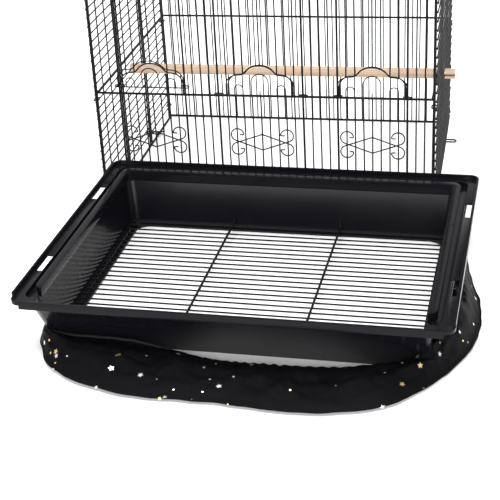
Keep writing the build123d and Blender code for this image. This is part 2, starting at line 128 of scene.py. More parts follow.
def makeWeaveGroup():  # crossed threads, measured along the cloth
    tree, given, put = startGroup(
        "threadWeave", "ShaderNodeTree",
        [("Vector", "NodeSocketVector", None), ("Threads", "NodeSocketFloat", 1200.0),
         ("Waver", "NodeSocketFloat", 0.3)],
        [("Height", "NodeSocketFloat"), ("Cover", "NodeSocketFloat")])
    drift = addNode(tree, "ShaderNodeTexNoise",
                    {"Vector": given["Vector"], "Scale": 40.0, "Detail": 1.0})
    parts = addNode(tree, "ShaderNodeSeparateXYZ", {0: given["Vector"]})
    threads = []
    for axis in (0, 1):
        turns = calc(tree, "MULTIPLY", parts.outputs[axis], given["Threads"])
        moved = calc(tree, "MULTIPLY_ADD", drift.outputs[0], given["Waver"], turns)
        wave = calc(tree, "SINE", calc(tree, "MULTIPLY", moved, 2 * math.pi))
        threads.append(calc(tree, "MULTIPLY_ADD", wave, 0.5, 0.5))
    cover = calc(tree, "MAXIMUM", threads[0], threads[1])
    tree.links.new(calc(tree, "ADD", threads[0], threads[1]), put["Height"])
    tree.links.new(cover, put["Cover"])
    return tree


def makeGrainGroup():  # straight softwood grain along X, with a few darker rings
    tree, given, put = startGroup(
        "woodGrain", "ShaderNodeTree",
        [("Vector", "NodeSocketVector", None), ("Ring Scale", "NodeSocketFloat", 90.0),
         ("Fibre Scale", "NodeSocketFloat", 700.0)],
        [("Rings", "NodeSocketFloat"), ("Fibres", "NodeSocketFloat"), ("Knots", "NodeSocketFloat")])
    slow = addNode(tree, "ShaderNodeVectorMath", {0: given["Vector"], 1: (0.045, 1.0, 1.0)},
                   operation="MULTIPLY")
    warp = addNode(tree, "ShaderNodeTexNoise",
                   {"Vector": slow.outputs[0], "Scale": 60.0, "Detail": 3.0})
    bent = addNode(tree, "ShaderNodeVectorMath",
                   {0: warp.outputs[1], 1: (0.006, 0.006, 0.006), 2: slow.outputs[0]},
                   operation="MULTIPLY_ADD")
    rings = addNode(tree, "ShaderNodeTexWave", {"Vector": bent.outputs[0], "Scale": given["Ring Scale"],
                                                "Distortion": 3.0, "Detail": 2.0}, bands_direction="Y")
    fibres = addNode(tree, "ShaderNodeTexNoise",
                     {"Vector": slow.outputs[0], "Scale": given["Fibre Scale"], "Detail": 4.0,
                      "Roughness": 0.7})
    knots = addNode(tree, "ShaderNodeTexVoronoi", {"Vector": given["Vector"], "Scale": 22.0})
    tree.links.new(rings.outputs["Fac"], put["Rings"])
    tree.links.new(fibres.outputs[0], put["Fibres"])
    near = addNode(tree, "ShaderNodeMapRange", {"Value": knots.outputs["Distance"], "From Min": 0.0,
                                                "From Max": 0.13, "To Min": 1.0, "To Max": 0.0})
    tree.links.new(near.outputs[0], put["Knots"])
    return tree


wearGroup = makeWearGroup()
weaveGroup = makeWeaveGroup()
grainGroup = makeGrainGroup()


# materials
def startMaterial(name, **numbers):
    material = bpy.data.materials.new(name)
    material.use_nodes = True
    tree = material.node_tree
    shader = tree.nodes["Principled BSDF"]
    for label, value in numbers.items():
        shader.inputs[label.replace("_", " ")].default_value = value
    where = tree.nodes.new("ShaderNodeTexCoord").outputs["Object"]
    return material, tree, shader, where


def useGroup(tree, group, inputs):
    return addNode(tree, "ShaderNodeGroup", inputs, node_tree=group).outputs


def addBump(tree, shader, height, depth, strength=1.0):
    bump = addNode(tree, "ShaderNodeBump", {"Height": height, "Distance": depth, "Strength": strength})
    tree.links.new(bump.outputs[0], shader.inputs["Normal"])


def makeWirePaint():  # black powder coat with a soft orange peel
    material, tree, shader, where = startMaterial("wirePaint", IOR=1.45, Specular_IOR_Level=0.12)
    wear = useGroup(tree, wearGroup, {"Vector": where, "Smudge Scale": 30.0, "Pit Scale": 1500.0,
                                      "Scratch Scale": 220.0})
    tree.links.new(mixColor(tree, wear["Smudge"], (0.0025, 0.0025, 0.003), (0.005, 0.005, 0.0055)),
                   shader.inputs["Base Color"])
    tree.links.new(spread(tree, wear["Smudge"], 0.36, 0.52), shader.inputs["Roughness"])
    addBump(tree, shader, wear["Height"], 0.00004)
    return material


def makeTrayPlastic():  # moulded polystyrene: glossy inside, faint flow marks and dust
    material, tree, shader, where = startMaterial("trayPlastic", IOR=1.5, Specular_IOR_Level=0.12)
    wear = useGroup(tree, wearGroup, {"Vector": where, "Smudge Scale": 9.0, "Pit Scale": 2200.0,
                                      "Scratch Scale": 90.0})
    plain = mixColor(tree, wear["Smudge"], (0.0032, 0.0032, 0.0046), (0.0046, 0.0046, 0.0062))
    dusty = addNode(tree, "ShaderNodeMix", {0: calc(tree, "MULTIPLY", wear["Dust"], 0.25), 6: plain,
                                            7: (0.05, 0.05, 0.05, 1.0)}, data_type="RGBA")
    tree.links.new(dusty.outputs[2], shader.inputs["Base Color"])
    tree.links.new(spread(tree, wear["Smudge"], 0.13, 0.19), shader.inputs["Roughness"])
    addBump(tree, shader, wear["Height"], 0.00002, 0.6)
    return material


def makePerchWood():
    material, tree, shader, where = startMaterial("perchWood", Specular_IOR_Level=0.25)
    turned = addNode(tree, "ShaderNodeMapping", {"Vector": where, "Rotation": (0, 0, -cageTurn)})
    grain = useGroup(tree, grainGroup,
                     {"Vector": turned.outputs[0], "Ring Scale": 95.0, "Fibre Scale": 650.0})
    rings = mixColor(tree, spread(tree, grain["Rings"], 0.0, 0.75), (0.56, 0.42, 0.31),
                     (0.45, 0.31, 0.21))
    fibre = addNode(tree, "ShaderNodeMix", {0: spread(tree, grain["Fibres"], 0.0, 0.45), 6: rings,
                                            7: (0.33, 0.22, 0.14, 1.0)}, data_type="RGBA")
    knotted = addNode(tree, "ShaderNodeMix", {0: grain["Knots"], 6: fibre.outputs[2],
                                              7: (0.16, 0.08, 0.04, 1.0)}, data_type="RGBA")
    tree.links.new(knotted.outputs[2], shader.inputs["Base Color"])
    tree.links.new(spread(tree, grain["Fibres"], 0.55, 0.8), shader.inputs["Roughness"])
    addBump(tree, shader, grain["Fibres"], 0.0002, 0.6)
    return material


def makeOrganza():  # sheer black cloth, darker where it lies in folds
    material, tree, shader, where = startMaterial("organza", Specular_IOR_Level=0.03,
                                                  Sheen_Weight=0.004)
    cloth = addNode(tree, "ShaderNodeUVMap", uv_map="cloth").outputs[0]
    weave = useGroup(tree, weaveGroup, {"Vector": cloth, "Threads": 1500.0, "Waver": 0.4})
    layers = addNode(tree, "ShaderNodeAttribute", attribute_name="layers").outputs["Fac"]
    smoke = addNode(tree, "ShaderNodeTexNoise", {"Vector": where, "Scale": 34.0, "Detail": 4.0})
    dense = calc(tree, "MULTIPLY_ADD", layers, 0.035, 0.945)
    mottled = calc(tree, "MULTIPLY_ADD", smoke.outputs[0], 0.02, dense)
    woven = calc(tree, "MULTIPLY_ADD", weave["Cover"], 0.015, mottled)
    tree.links.new(calc(tree, "MINIMUM", woven, 0.998), shader.inputs["Alpha"])
    tree.links.new(mixColor(tree, smoke.outputs[0], (0.0012, 0.0012, 0.0016), (0.0032, 0.0032, 0.0042)),
                   shader.inputs["Base Color"])
    tree.links.new(spread(tree, weave["Cover"], 0.6, 0.45), shader.inputs["Roughness"])
    addBump(tree, shader, weave["Height"], 0.0001, 0.5)
    return material


def makeElastic():  # ribbed band, its colour painted darker in the gaps between threads as painted shade
    material, tree, shader, where = startMaterial("elastic", Specular_IOR_Level=0.15)
    weave = useGroup(tree, weaveGroup, {"Vector": where, "Threads": 620.0, "Waver": 0.2})
    # painted shade: darker colour in the gaps between the threads, lighter on the thread tops
    tree.links.new(mixColor(tree, weave["Cover"], (0.003, 0.003, 0.003), (0.012, 0.012, 0.013)),
                   shader.inputs["Base Color"])
    tree.links.new(spread(tree, weave["Cover"], 0.9, 0.7), shader.inputs["Roughness"])
    addBump(tree, shader, weave["Height"], 0.0003, 0.8)
    return material


def makeFoil():  # stamped gold and silver foil, with a random share of pieces given painted shade: dark and less metallic, standing in for foil turned away from the light
    material, tree, shader, where = startMaterial("foil")
    tone = addNode(tree, "ShaderNodeAttribute", attribute_name="tone").outputs["Fac"]
    wear = useGroup(tree, wearGroup, {"Vector": where, "Smudge Scale": 400.0, "Pit Scale": 2500.0,
                                      "Scratch Scale": 500.0})
    warm = calc(tree, "GREATER_THAN", tone, 0.62)
    plain = mixColor(tree, warm, (0.86, 0.87, 0.90), (0.95, 0.70, 0.30))
    # painted shade: a random share of pieces is painted dark and made less metallic, as if turned away
    # from the light
    paintedShadePick = calc(tree, "FRACT", calc(tree, "MULTIPLY", tone, 7.0))
    paintedShadeShare = spread(tree, paintedShadePick, -0.5, 0.85)
    foilWithPaintedShade = addNode(tree, "ShaderNodeMix", {0: paintedShadeShare, 6: plain, 7: (0.03, 0.03, 0.03, 1.0)},
                    data_type="RGBA")
    tree.links.new(foilWithPaintedShade.outputs[2], shader.inputs["Base Color"])
    tree.links.new(spread(tree, wear["Smudge"], 0.22, 0.45), shader.inputs["Roughness"])
    tree.links.new(spread(tree, paintedShadeShare, 0.9, 0.3), shader.inputs["Metallic"])
    addBump(tree, shader, wear["Height"], 0.00005)
    return material


def makeFloor():
    material, tree, shader, where = startMaterial("studioFloor", Specular_IOR_Level=0.1)
    cloudy = addNode(tree, "ShaderNodeTexNoise", {"Vector": where, "Scale": 3.0, "Detail": 3.0})
    tree.links.new(mixColor(tree, cloudy.outputs[0], (0.93, 0.93, 0.93), (0.96, 0.96, 0.96)),
                   shader.inputs["Base Color"])
    tree.links.new(spread(tree, cloudy.outputs[0], 0.7, 0.8), shader.inputs["Roughness"])
    return material


wirePaint = makeWirePaint()
trayPlastic = makeTrayPlastic()
perchWood = makePerchWood()
organza = makeOrganza()
elastic = makeElastic()
foil = makeFoil()
print("materials made")


# the tree that turns a wire plan into welded wires
# A plan is a mesh: loose points with a reach become straight wires, edges become bent
# wires with a bend radius at each point, and loose points with a weld become beads.
def makeWireTree():
    tree, given, put = startGroup(
        "weldedWires", "GeometryNodeTree",
        [("Plan", "NodeSocketGeometry", None), ("Sides", "NodeSocketInt", 10),
         ("Stray", "NodeSocketFloat", 0.0003), ("Seed", "NodeSocketInt", 1),
         ("Finish", "NodeSocketMaterial", None)],
        [("Wires", "NodeSocketGeometry")])

    def attribute(name, kind="FLOAT"):
        return addNode(tree, "GeometryNodeInputNamedAttribute", {"Name": name},
                       data_type=kind).outputs[0]

    reach = attribute("reach", "FLOAT_VECTOR")
    length = addNode(tree, "ShaderNodeVectorMath", {0: reach}, operation="LENGTH").outputs["Value"]
    isWire = addNode(tree, "FunctionNodeCompare", {0: length, 1: 0.0001},
                     operation="GREATER_THAN").outputs[0]
    numbered = addNode(tree, "GeometryNodeStoreNamedAttribute",
                       {"Geometry": given["Plan"], "Name": "wireNumber",
                        "Value": addNode(tree, "GeometryNodeInputIndex").outputs[0]}).outputs[0]
    straight = addNode(tree, "GeometryNodeCurvePrimitiveLine", {"End": (0, 0, 1)}).outputs[0]
    stepped = addNode(tree, "GeometryNodeResampleCurve", {"Curve": straight, "Count": 9}).outputs[0]
    aim = addNode(tree, "FunctionNodeAlignRotationToVector", {"Vector": reach}, axis="Z").outputs[0]
    stretch = addNode(tree, "ShaderNodeCombineXYZ", {0: 1.0, 1: 1.0, 2: length}).outputs[0]
    laid = addNode(tree, "GeometryNodeInstanceOnPoints",
                   {"Points": numbered, "Selection": isWire, "Instance": stepped, "Rotation": aim,
                    "Scale": stretch}).outputs[0]
    rods = addNode(tree, "GeometryNodeRealizeInstances", {0: laid}).outputs[0]
    place = addNode(tree, "GeometryNodeInputPosition").outputs[0]
    along = addNode(tree, "ShaderNodeVectorMath", {0: place, 1: (6.0, 6.0, 6.0)},
                    operation="DOT_PRODUCT")
    own = calc(tree, "MULTIPLY_ADD", attribute("wireNumber"), 3.7, given["Seed"])
    seedPoint = addNode(tree, "ShaderNodeCombineXYZ", {0: own, 1: along.outputs["Value"]}).outputs[0]
    cloud = addNode(tree, "ShaderNodeTexNoise",
                    {"Vector": seedPoint, "Scale": 1.0, "Detail": 0.0}).outputs[1]
    middle = addNode(tree, "ShaderNodeVectorMath", {0: cloud, 1: (0.5, 0.5, 0.5)},
                     operation="SUBTRACT").outputs[0]
    sway = addNode(tree, "ShaderNodeVectorMath", {0: middle}, operation="SCALE")
    tree.links.new(given["Stray"], sway.inputs["Scale"])
    loose = addNode(tree, "GeometryNodeSetPosition",
                    {"Geometry": rods, "Offset": sway.outputs[0]}).outputs[0]
    paths = addNode(tree, "GeometryNodeMeshToCurve", {"Mesh": given["Plan"]}).outputs[0]
    bent = addNode(tree, "GeometryNodeFilletCurve",
                   {"Curve": paths, "Count": 6, "Radius": attribute("bend"), "Limit Radius": True},
                   mode="POLY").outputs[0]
    both = addNode(tree, "GeometryNodeJoinGeometry")
    for part in (loose, bent):
        tree.links.new(part, both.inputs[0])
    section = addNode(tree, "GeometryNodeCurvePrimitiveCircle",
                      {"Resolution": given["Sides"], "Radius": 0.5})
    tubes = addNode(tree, "GeometryNodeCurveToMesh",
                    {"Curve": both.outputs[0], "Profile Curve": section.outputs[0],
                     "Scale": attribute("thick"),
                     "Fill Caps": True}).outputs[0]
    weld = attribute("weld")
    isWeld = addNode(tree, "FunctionNodeCompare", {0: weld, 1: 0.0001},
                     operation="GREATER_THAN").outputs[0]
    bead = addNode(tree, "GeometryNodeMeshIcoSphere", {"Radius": 0.5, "Subdivisions": 2}).outputs[0]
    beads = addNode(tree, "GeometryNodeInstanceOnPoints",
                    {"Points": given["Plan"], "Selection": isWeld, "Instance": bead,
                     "Scale": weld}).outputs[0]
    every = addNode(tree, "GeometryNodeJoinGeometry")
    for part in (tubes, beads):
        tree.links.new(part, every.inputs[0])
    whole = addNode(tree, "GeometryNodeRealizeInstances", {0: every.outputs[0]}).outputs[0]
    smooth = addNode(tree, "GeometryNodeSetShadeSmooth", {0: whole}).outputs[0]
    done = addNode(tree, "GeometryNodeSetMaterial",
                   {"Geometry": smooth, "Material": given["Finish"]}).outputs[0]
    tree.links.new(done, put["Wires"])
    return tree


wireTree = makeWireTree()


def keepShape(piece):  # makes what the modifiers show the piece's own mesh
    shown = piece.evaluated_get(bpy.context.evaluated_depsgraph_get())
    made = bpy.data.meshes.new_from_object(shown)
    piece.modifiers.clear()
    made.name = piece.name
    piece.data = made
    return piece


def runTree(piece, tree, values):  # applies a tree with its named inputs and keeps the plain mesh
    modifier = piece.modifiers.new(tree.name, "NODES")
    modifier.node_group = tree
    for item in tree.interface.items_tree:
        if item.in_out == "INPUT" and item.name in values:
            modifier[item.identifier] = values[item.name]
    return keepShape(piece)


def addObject(name, mesh):
    piece = bpy.data.objects.new(name, mesh)
    scene.collection.objects.link(piece)
    return piece


class WirePlan:
    def __init__(self):
        self.points, self.edges, self.values = [], [], []

    def addPoint(self, point, reach=(0, 0, 0), thick=0.0, bend=0.0, weld=0.0):
        self.points.append(point)
        self.values.append((reach, thick, bend, weld))
        return len(self.points) - 1

    def straight(self, start, end, thick):
        self.addPoint(start, [b - a for a, b in zip(start, end)], thick)

    def bent(self, path, thick, bends, closed=False):
        bends = bends if isinstance(bends, (list, tuple)) else [bends] * len(path)
        numbers = [self.addPoint(point, thick=thick, bend=bend) for point, bend in zip(path, bends)]
        self.edges += list(zip(numbers, numbers[1:]))
        if closed:
            self.edges.append((numbers[-1], numbers[0]))

    def welds(self, places, size):
        for place in places:
            self.addPoint(place, weld=size)

    def build(self, name, place, finish, stray=0.0003, seed=1, sides=10):
        mesh = bpy.data.meshes.new(name)
        mesh.from_pydata(self.points, self.edges, [])
        reach = mesh.attributes.new("reach", "FLOAT_VECTOR", "POINT")
        reach.data.foreach_set("vector", [part for value in self.values for part in value[0]])
        for column, label in ((1, "thick"), (2, "bend"), (3, "weld")):
            store = mesh.attributes.new(label, "FLOAT", "POINT")
            store.data.foreach_set("value", [value[column] for value in self.values])
        piece = addObject(name, mesh)
        runTree(piece, wireTree, {"Sides": sides, "Stray": stray, "Seed": seed, "Finish": finish})
        for label in ("reach", "thick", "bend", "weld", "wireNumber"):
            if label in piece.data.attributes:
                piece.data.attributes.remove(piece.data.attributes[label])
        piece.data.transform(place)
        return piece


def finishPiece(piece, body, slot, *nodes):
    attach(piece, body)
    if nodes:
        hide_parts(*nodes)
    return piece


# the cage's welded panels, in the cage's own frame: x along its front, y inwards
cage = {
    "halfWidth": 0.227, "halfDepth": 0.177, "height": 0.6,
    "barPitch": 0.0112, "barsPerHalf": 20, "rowPitch": 0.0117, "rowCount": 50,
    "thin": 0.002, "guide": 0.0028, "band": 0.0032, "post": 0.0032, "strut": 0.0026,
    "weldGap": 0.00002, "seatGap": 0.0004, "runGap": 0.0004,
    "middleBand": 0.169, "strutPlaces": (-0.36, -0.31, 0.31, 0.36),
    "bead": 0.0026, "stray": 0.0011,
}
feeder = {
    "spacing": 13, "halfBars": 4, "middleGuide": 5, "height": 0.040, "shoulder": 0.026,
    "shoulderReach": 0.5, "domeReach": 0.27, "shoulderRise": 0.0015, "bends": (0.014, 0.009, 0.022),
    "wire": 0.0018, "hoopWire": 0.0016, "hookLength": 0.009, "sideArch": 0.014, "middleArch": 0.029,
    "stub": 0.006,
    "leftLift": 0.008, "leftLean": math.radians(12.0),
}
mainDoor = {"halfBars": 7, "low": 0.330, "high": 0.500, "wire": 0.0024, "lap": 0.004, "pullBend": 0.003,
            "ringInset": 0.020,
            "ringWire": 0.0018, "pullReach": 0.011, "pullWidth": 0.016}
roof = {"halfBars": 9, "depth": 0.180, "lap": 0.004, "wire": 0.0024,
        "crossPlaces": (-0.49, -0.36, 0.36, 0.49)}
pitch = cage["barPitch"]
halfWidth = cage["halfWidth"]
halfDepth = cage["halfDepth"]
thin = cage["thin"]
postX = pitch * cage["barsPerHalf"]
roofCrossZ = cage["height"] - cage["strut"] / 2
roofWireZ = roofCrossZ - cage["strut"] / 2 - thin / 2 - cage["weldGap"]
panelTop = roofWireZ - thin / 2 - cage["seatGap"]
bandStep = thin / 2 + cage["band"] / 2 + cage["weldGap"]
strutStep = thin / 2 + cage["strut"] / 2 + cage["weldGap"]
sideBandStep = strutStep + cage["strut"] / 2 + cage["band"] / 2 + cage["weldGap"]
guideY = halfDepth + (cage["guide"] - thin) / 2
postY = halfDepth + (cage["post"] - thin) / 2
strutEndY = halfDepth - bandStep - cage["band"] / 2 - cage["runGap"] - cage["strut"] / 2
bottomBand = cage["band"] / 2
topBand = panelTop - cage["band"] / 2
upperBand = (cage["middleBand"] + panelTop) / 2
feederMiddles = {"left": -feeder["spacing"] * pitch, "middle": 0.0, "right": feeder["spacing"] * pitch}
feederGuides = {"left": feeder["halfBars"] * pitch, "middle": feeder["middleGuide"] * pitch,
                "right": feeder["halfBars"] * pitch}
doorRestZ = cage["middleBand"] + cage["band"] / 2 + cage["seatGap"] + feeder["wire"] / 2
feederHalf = feeder["halfBars"] * pitch
openingHalf = feederHalf - cage["guide"] / 2 - thin / 2 - cage["weldGap"]
openingHeight = feeder["height"] + doorRestZ - cage["middleBand"]
mainHalf = mainDoor["halfBars"] * pitch
hatchHalf = roof["halfBars"] * pitch


def domePath(half, height):  # two feet, two shoulders and a domed top, as (across, up)
    shoulder = height - feeder["height"] + feeder["shoulder"]
    left = [(-half, 0.0), (-half, shoulder),
            (-feeder["shoulderReach"] * half, shoulder + feeder["shoulderRise"]),
            (-feeder["domeReach"] * half, height)]
    return left + [(-x, z) for x, z in reversed(left)]


domeBends = [0.0, *feeder["bends"], *reversed(feeder["bends"]), 0.0]


def domeHeight(across):  # how high the opening's edge stands over a bar
    path = domePath(openingHalf, openingHeight)
    for (x1, z1), (x2, z2) in zip(path[1:], path[2:-1]):
        if x1 <= across <= x2 and x2 > x1:
            return z1 + (z2 - z1) * (across - x1) / (x2 - x1)
    return path[1][1]


def makeFrontPanel():
    plan = WirePlan()
    guides = {round((middle + side * feederGuides[name]) / pitch)
              for name, middle in feederMiddles.items() for side in (-1, 1)}
    for number in range(1 - cage["barsPerHalf"], cage["barsPerHalf"]):
        x = number * pitch
        thick = cage["guide"] if number in guides else thin
        y = -guideY if number in guides else -halfDepth
        cuts = []
        for middle in feederMiddles.values():
            if abs(x - middle) < openingHalf:
                cuts.append((cage["middleBand"], cage["middleBand"] + domeHeight(x - middle)))
        if abs(x) < mainHalf - pitch / 2:
            cuts.append((mainDoor["low"], mainDoor["high"]))
        foot = 0.0
        for low, high in cuts + [(panelTop, None)]:
            plan.straight((x, y, foot), (x, y, low), thick if foot < mainDoor["high"] else thin)
            foot = high
        for z in (bottomBand, cage["middleBand"], mainDoor["low"], mainDoor["high"], topBand):
            plan.welds([(x, thin / 2 - halfDepth, z)], cage["bead"])
    for side in (-1, 1):
        plan.straight((side * postX, -postY, 0), (side * postX, -postY, panelTop), cage["post"])
    for z in (bottomBand, cage["middleBand"], mainDoor["low"], mainDoor["high"], topBand):
        reach = postX + cage["post"] / 2
        plan.straight((-reach, bandStep - halfDepth, z), (reach, bandStep - halfDepth, z), cage["band"])
    for middle in feederMiddles.values():
        path = [(middle + x, -halfDepth, cage["middleBand"] + z) for x,
                z in domePath(openingHalf, openingHeight)]
        plan.bent(path, thin, domeBends)
    piece = plan.build("frontPanel", cagePlace, wirePaint, cage["stray"], 3)
    return finishPiece(piece, "cage", "black_wire", "front_panel")


def makeBackPanel():
    plan = WirePlan()
    heights = (bottomBand, cage["middleBand"], upperBand, topBand)
    for number in range(1 - cage["barsPerHalf"], cage["barsPerHalf"]):
        plan.straight((number * pitch, halfDepth, 0), (number * pitch, halfDepth, panelTop), thin)
        plan.welds([(number * pitch, halfDepth - thin / 2, z) for z in heights], cage["bead"])
    for side in (-1, 1):
        plan.straight((side * postX, postY, 0), (side * postX, postY, panelTop), cage["post"])
    reach = postX + cage["post"] / 2
    for z in heights:
        plan.straight((-reach, halfDepth - bandStep, z), (reach, halfDepth - bandStep, z), cage["band"])
    piece = plan.build("backPanel", cagePlace, wirePaint, cage["stray"], 5)
    return finishPiece(piece, "cage", "black_wire", "back_panel")


def makeSidePanel(side, name, node):
    plan = WirePlan()
    wireX = side * halfWidth
    strutX = wireX - side * strutStep
    bandX = wireX - side * sideBandStep
    struts = [-strutEndY, strutEndY] + [share * halfDepth for share in cage["strutPlaces"]]
    reach = halfDepth - bandStep - cage["runGap"]
    for row in range(1, cage["rowCount"] + 1):
        z = bottomBand + row * cage["rowPitch"]
        plan.straight((wireX, -reach, z), (wireX, reach, z), thin)
        plan.welds([(wireX - side * thin / 2, y, z) for y in struts], cage["bead"])
    for y in struts:
        plan.straight((strutX, y, 0), (strutX, y, panelTop), cage["strut"])
    bandReach = strutEndY + cage["strut"] / 2
    for z in (bottomBand, cage["middleBand"], upperBand, topBand):
        plan.straight((bandX, -bandReach, z), (bandX, bandReach, z), cage["band"])
    piece = plan.build(name, cagePlace, wirePaint, cage["stray"], 7 + side)
    return finishPiece(piece, "cage", "black_wire", node)


def makeRoofPanel():
    plan = WirePlan()
    end = halfDepth + cage["post"] / 2
    hatchY = roof["depth"] / 2
    crossY = [share * 2 * halfDepth for share in roof["crossPlaces"]] + [-hatchY, hatchY]
    for number in range(-cage["barsPerHalf"], cage["barsPerHalf"] + 1):
        x = number * pitch
        if abs(number) < roof["halfBars"]:
            plan.straight((x, -end, roofWireZ), (x, -hatchY, roofWireZ), thin)
            plan.straight((x, hatchY, roofWireZ), (x, end, roofWireZ), thin)
        else:
            plan.straight((x, -end, roofWireZ), (x, end, roofWireZ), thin)
        plan.welds([(x, y, roofWireZ + thin / 2) for y in crossY], cage["bead"])
    reach = postX + cage["post"] / 2
    for y in crossY:
        plan.straight((-reach, y, roofCrossZ), (reach, y, roofCrossZ), cage["strut"])
    piece = plan.build("roofPanel", cagePlace, wirePaint, stray=0.0001, seed=11)
    return finishPiece(piece, "cage", "black_wire", "roof_panel")


def ringPath(middle, radius, axis, count=14):  # a closed ring about a level or upright axis
    path = []
    for step in range(count):
        turn = 2 * math.pi * step / count
        across, up = radius * math.cos(turn), radius * math.sin(turn)
        offset = (0, across, up) if axis == "X" else (across, up, 0)
        path.append(tuple(m + o for m, o in zip(middle, offset)))
    return path


def makeRoofHatch():
    plan = WirePlan()
    hatchZ = roofCrossZ + cage["strut"] / 2 + cage["runGap"] + roof["wire"] / 2
    side = hatchHalf - pitch / 2
    back = roof["depth"] / 2
    tip = -roof["depth"] / 2 - roof["lap"]
    wireZ = hatchZ + roof["wire"] / 2 + thin / 2 + cage["weldGap"]
    inner = [n * pitch for n in range(1 - roof["halfBars"],
                                      roof["halfBars"]) if abs(n * pitch) < side - pitch]
    for x in inner:
        plan.straight((x, tip, wireZ), (x, back, wireZ), thin)
        plan.welds([(x, y, hatchZ + roof["wire"] / 2) for y in (tip, back)], thin)
    for y in (tip, back):
        plan.straight((-side, y, hatchZ), (side, y, hatchZ), roof["wire"])
    edgeZ = hatchZ + roof["wire"] + cage["weldGap"]
    for way in (-1, 1):
        x = way * (side - roof["wire"] / 2)
        plan.straight((x, tip, edgeZ), (x, back, edgeZ), roof["wire"])
        ringX = way * (side - mainDoor["ringInset"])
        plan.bent(ringPath((ringX, back, roofCrossZ), hatchZ - roofCrossZ, "X"), mainDoor["ringWire"],
                  0.0, True)
    piece = plan.build("roofHatch", cagePlace, wirePaint, stray=0.0001, seed=13)
    return finishPiece(piece, "hatch", "black_wire", "roof_hatch")


def makeMainDoor():
    plan = WirePlan()
    wire = mainDoor["wire"]
    doorY = -halfDepth - thin / 2 - cage["runGap"] - wire / 2
    railY = doorY - wire - cage["weldGap"]
    barY = railY + wire / 2 + thin / 2 + cage["weldGap"]
    right = mainHalf + mainDoor["lap"]
    low = mainDoor["low"] - mainDoor["lap"]
    high = mainDoor["high"] + mainDoor["lap"]
    rails = (low, (low + high) / 2, high)
    for x in (-mainHalf, right):
        plan.straight((x, doorY, low), (x, doorY, high), wire)
    for number in range(1 - mainDoor["halfBars"], mainDoor["halfBars"]):
        plan.straight((number * pitch, barY, low), (number * pitch, barY, high), thin)
        plan.welds([(number * pitch, barY - thin / 2, z) for z in rails], cage["bead"])
    for z in rails:
        plan.straight((-mainHalf - wire / 2, railY, z), (right + wire / 2, railY, z), wire)
    for z in (mainDoor["low"] + mainDoor["ringInset"], mainDoor["high"] - mainDoor["ringInset"]):
        plan.bent(ringPath((-mainHalf, -halfDepth, z), -halfDepth - doorY, "Z"), mainDoor["ringWire"],
                  0.0, True)
    pullTop = (low + high) / 2 + mainDoor["ringInset"]
    pullY = doorY - mainDoor["pullReach"]
    pullLow = pullTop - mainDoor["pullWidth"]
    pull = [(right, doorY, pullTop), (right, pullY, pullTop), (right, pullY, pullLow),
            (right, doorY, pullLow)]
    plan.bent(pull, feeder["wire"], mainDoor["pullBend"])
    piece = plan.build("mainDoor", cagePlace, wirePaint, stray=0.0004, seed=17)
    return finishPiece(piece, "door", "black_wire", "main_door")


def makeFeederDoor(name):
    plan = WirePlan()
    middle, guide = feederMiddles[name], feederGuides[name]
    wire, hoopWire = feeder["wire"], feeder["hoopWire"]
    lean = feeder["leftLean"] if name == "left" else 0.0
    restZ = doorRestZ + (feeder["leftLift"] if name == "left" else 0.0)
    loop = cage["guide"] / 2 + cage["runGap"] + wire / 2
    barY = -guideY - loop

    def onFace(across, up, inwards=0.0):
        y = barY - up * math.sin(lean) + inwards * math.cos(lean)
        return (middle + across, y, restZ + up * math.cos(lean) + inwards * math.sin(lean))

    far = guide + loop
    tail = far - feeder["hookLength"]
    bar = [(-tail, 2 * loop), (-far - loop, 2 * loop), (-far - loop, 0), (far + loop, 0),
           (far + loop, 2 * loop),
           (tail, 2 * loop)]
    plan.bent([onFace(x, 0, y) for x, y in bar], wire, loop)
    plan.bent([onFace(x, z) for x, z in domePath(feederHalf, feeder["height"])], hoopWire, domeBends)
    hoops = [(0.0, pitch, feeder["middleArch"])]
    hoops += [(way * 2.5 * pitch, pitch / 2, feeder["sideArch"]) for way in (-1, 1)]
    for across, half, height in hoops:
        hoop = [(across - half, 0), (across - half, height), (across + half, height),
                (across + half, 0)]
        plan.bent([onFace(x, z) for x, z in hoop], hoopWire, half)
        plan.welds([onFace(across - half, 0), onFace(across + half, 0)], wire * 1.25)
    plan.bent([onFace(0, 0), onFace(0, feeder["stub"])], hoopWire, 0.0)
    plan.welds([onFace(-feederHalf, 0), onFace(feederHalf, 0), onFace(0, 0)], wire * 1.25)
    piece = plan.build("feederDoor" + name.capitalize(), cagePlace, wirePaint)
    return finishPiece(piece, "feeder_" + name, "black_wire", "feeder_door_" + name)


scroll = {"z": 0.106, "halfWidth": 0.031, "halfHeight": 0.011, "tail": 0.005, "curl": 0.0085,
          "turn": math.radians(250.0), "hook": 0.0055, "wire": 0.0018, "steps": 16,
          "tipBend": 0.0012, "ridgeBend": 0.002, "weld": 0.0022}


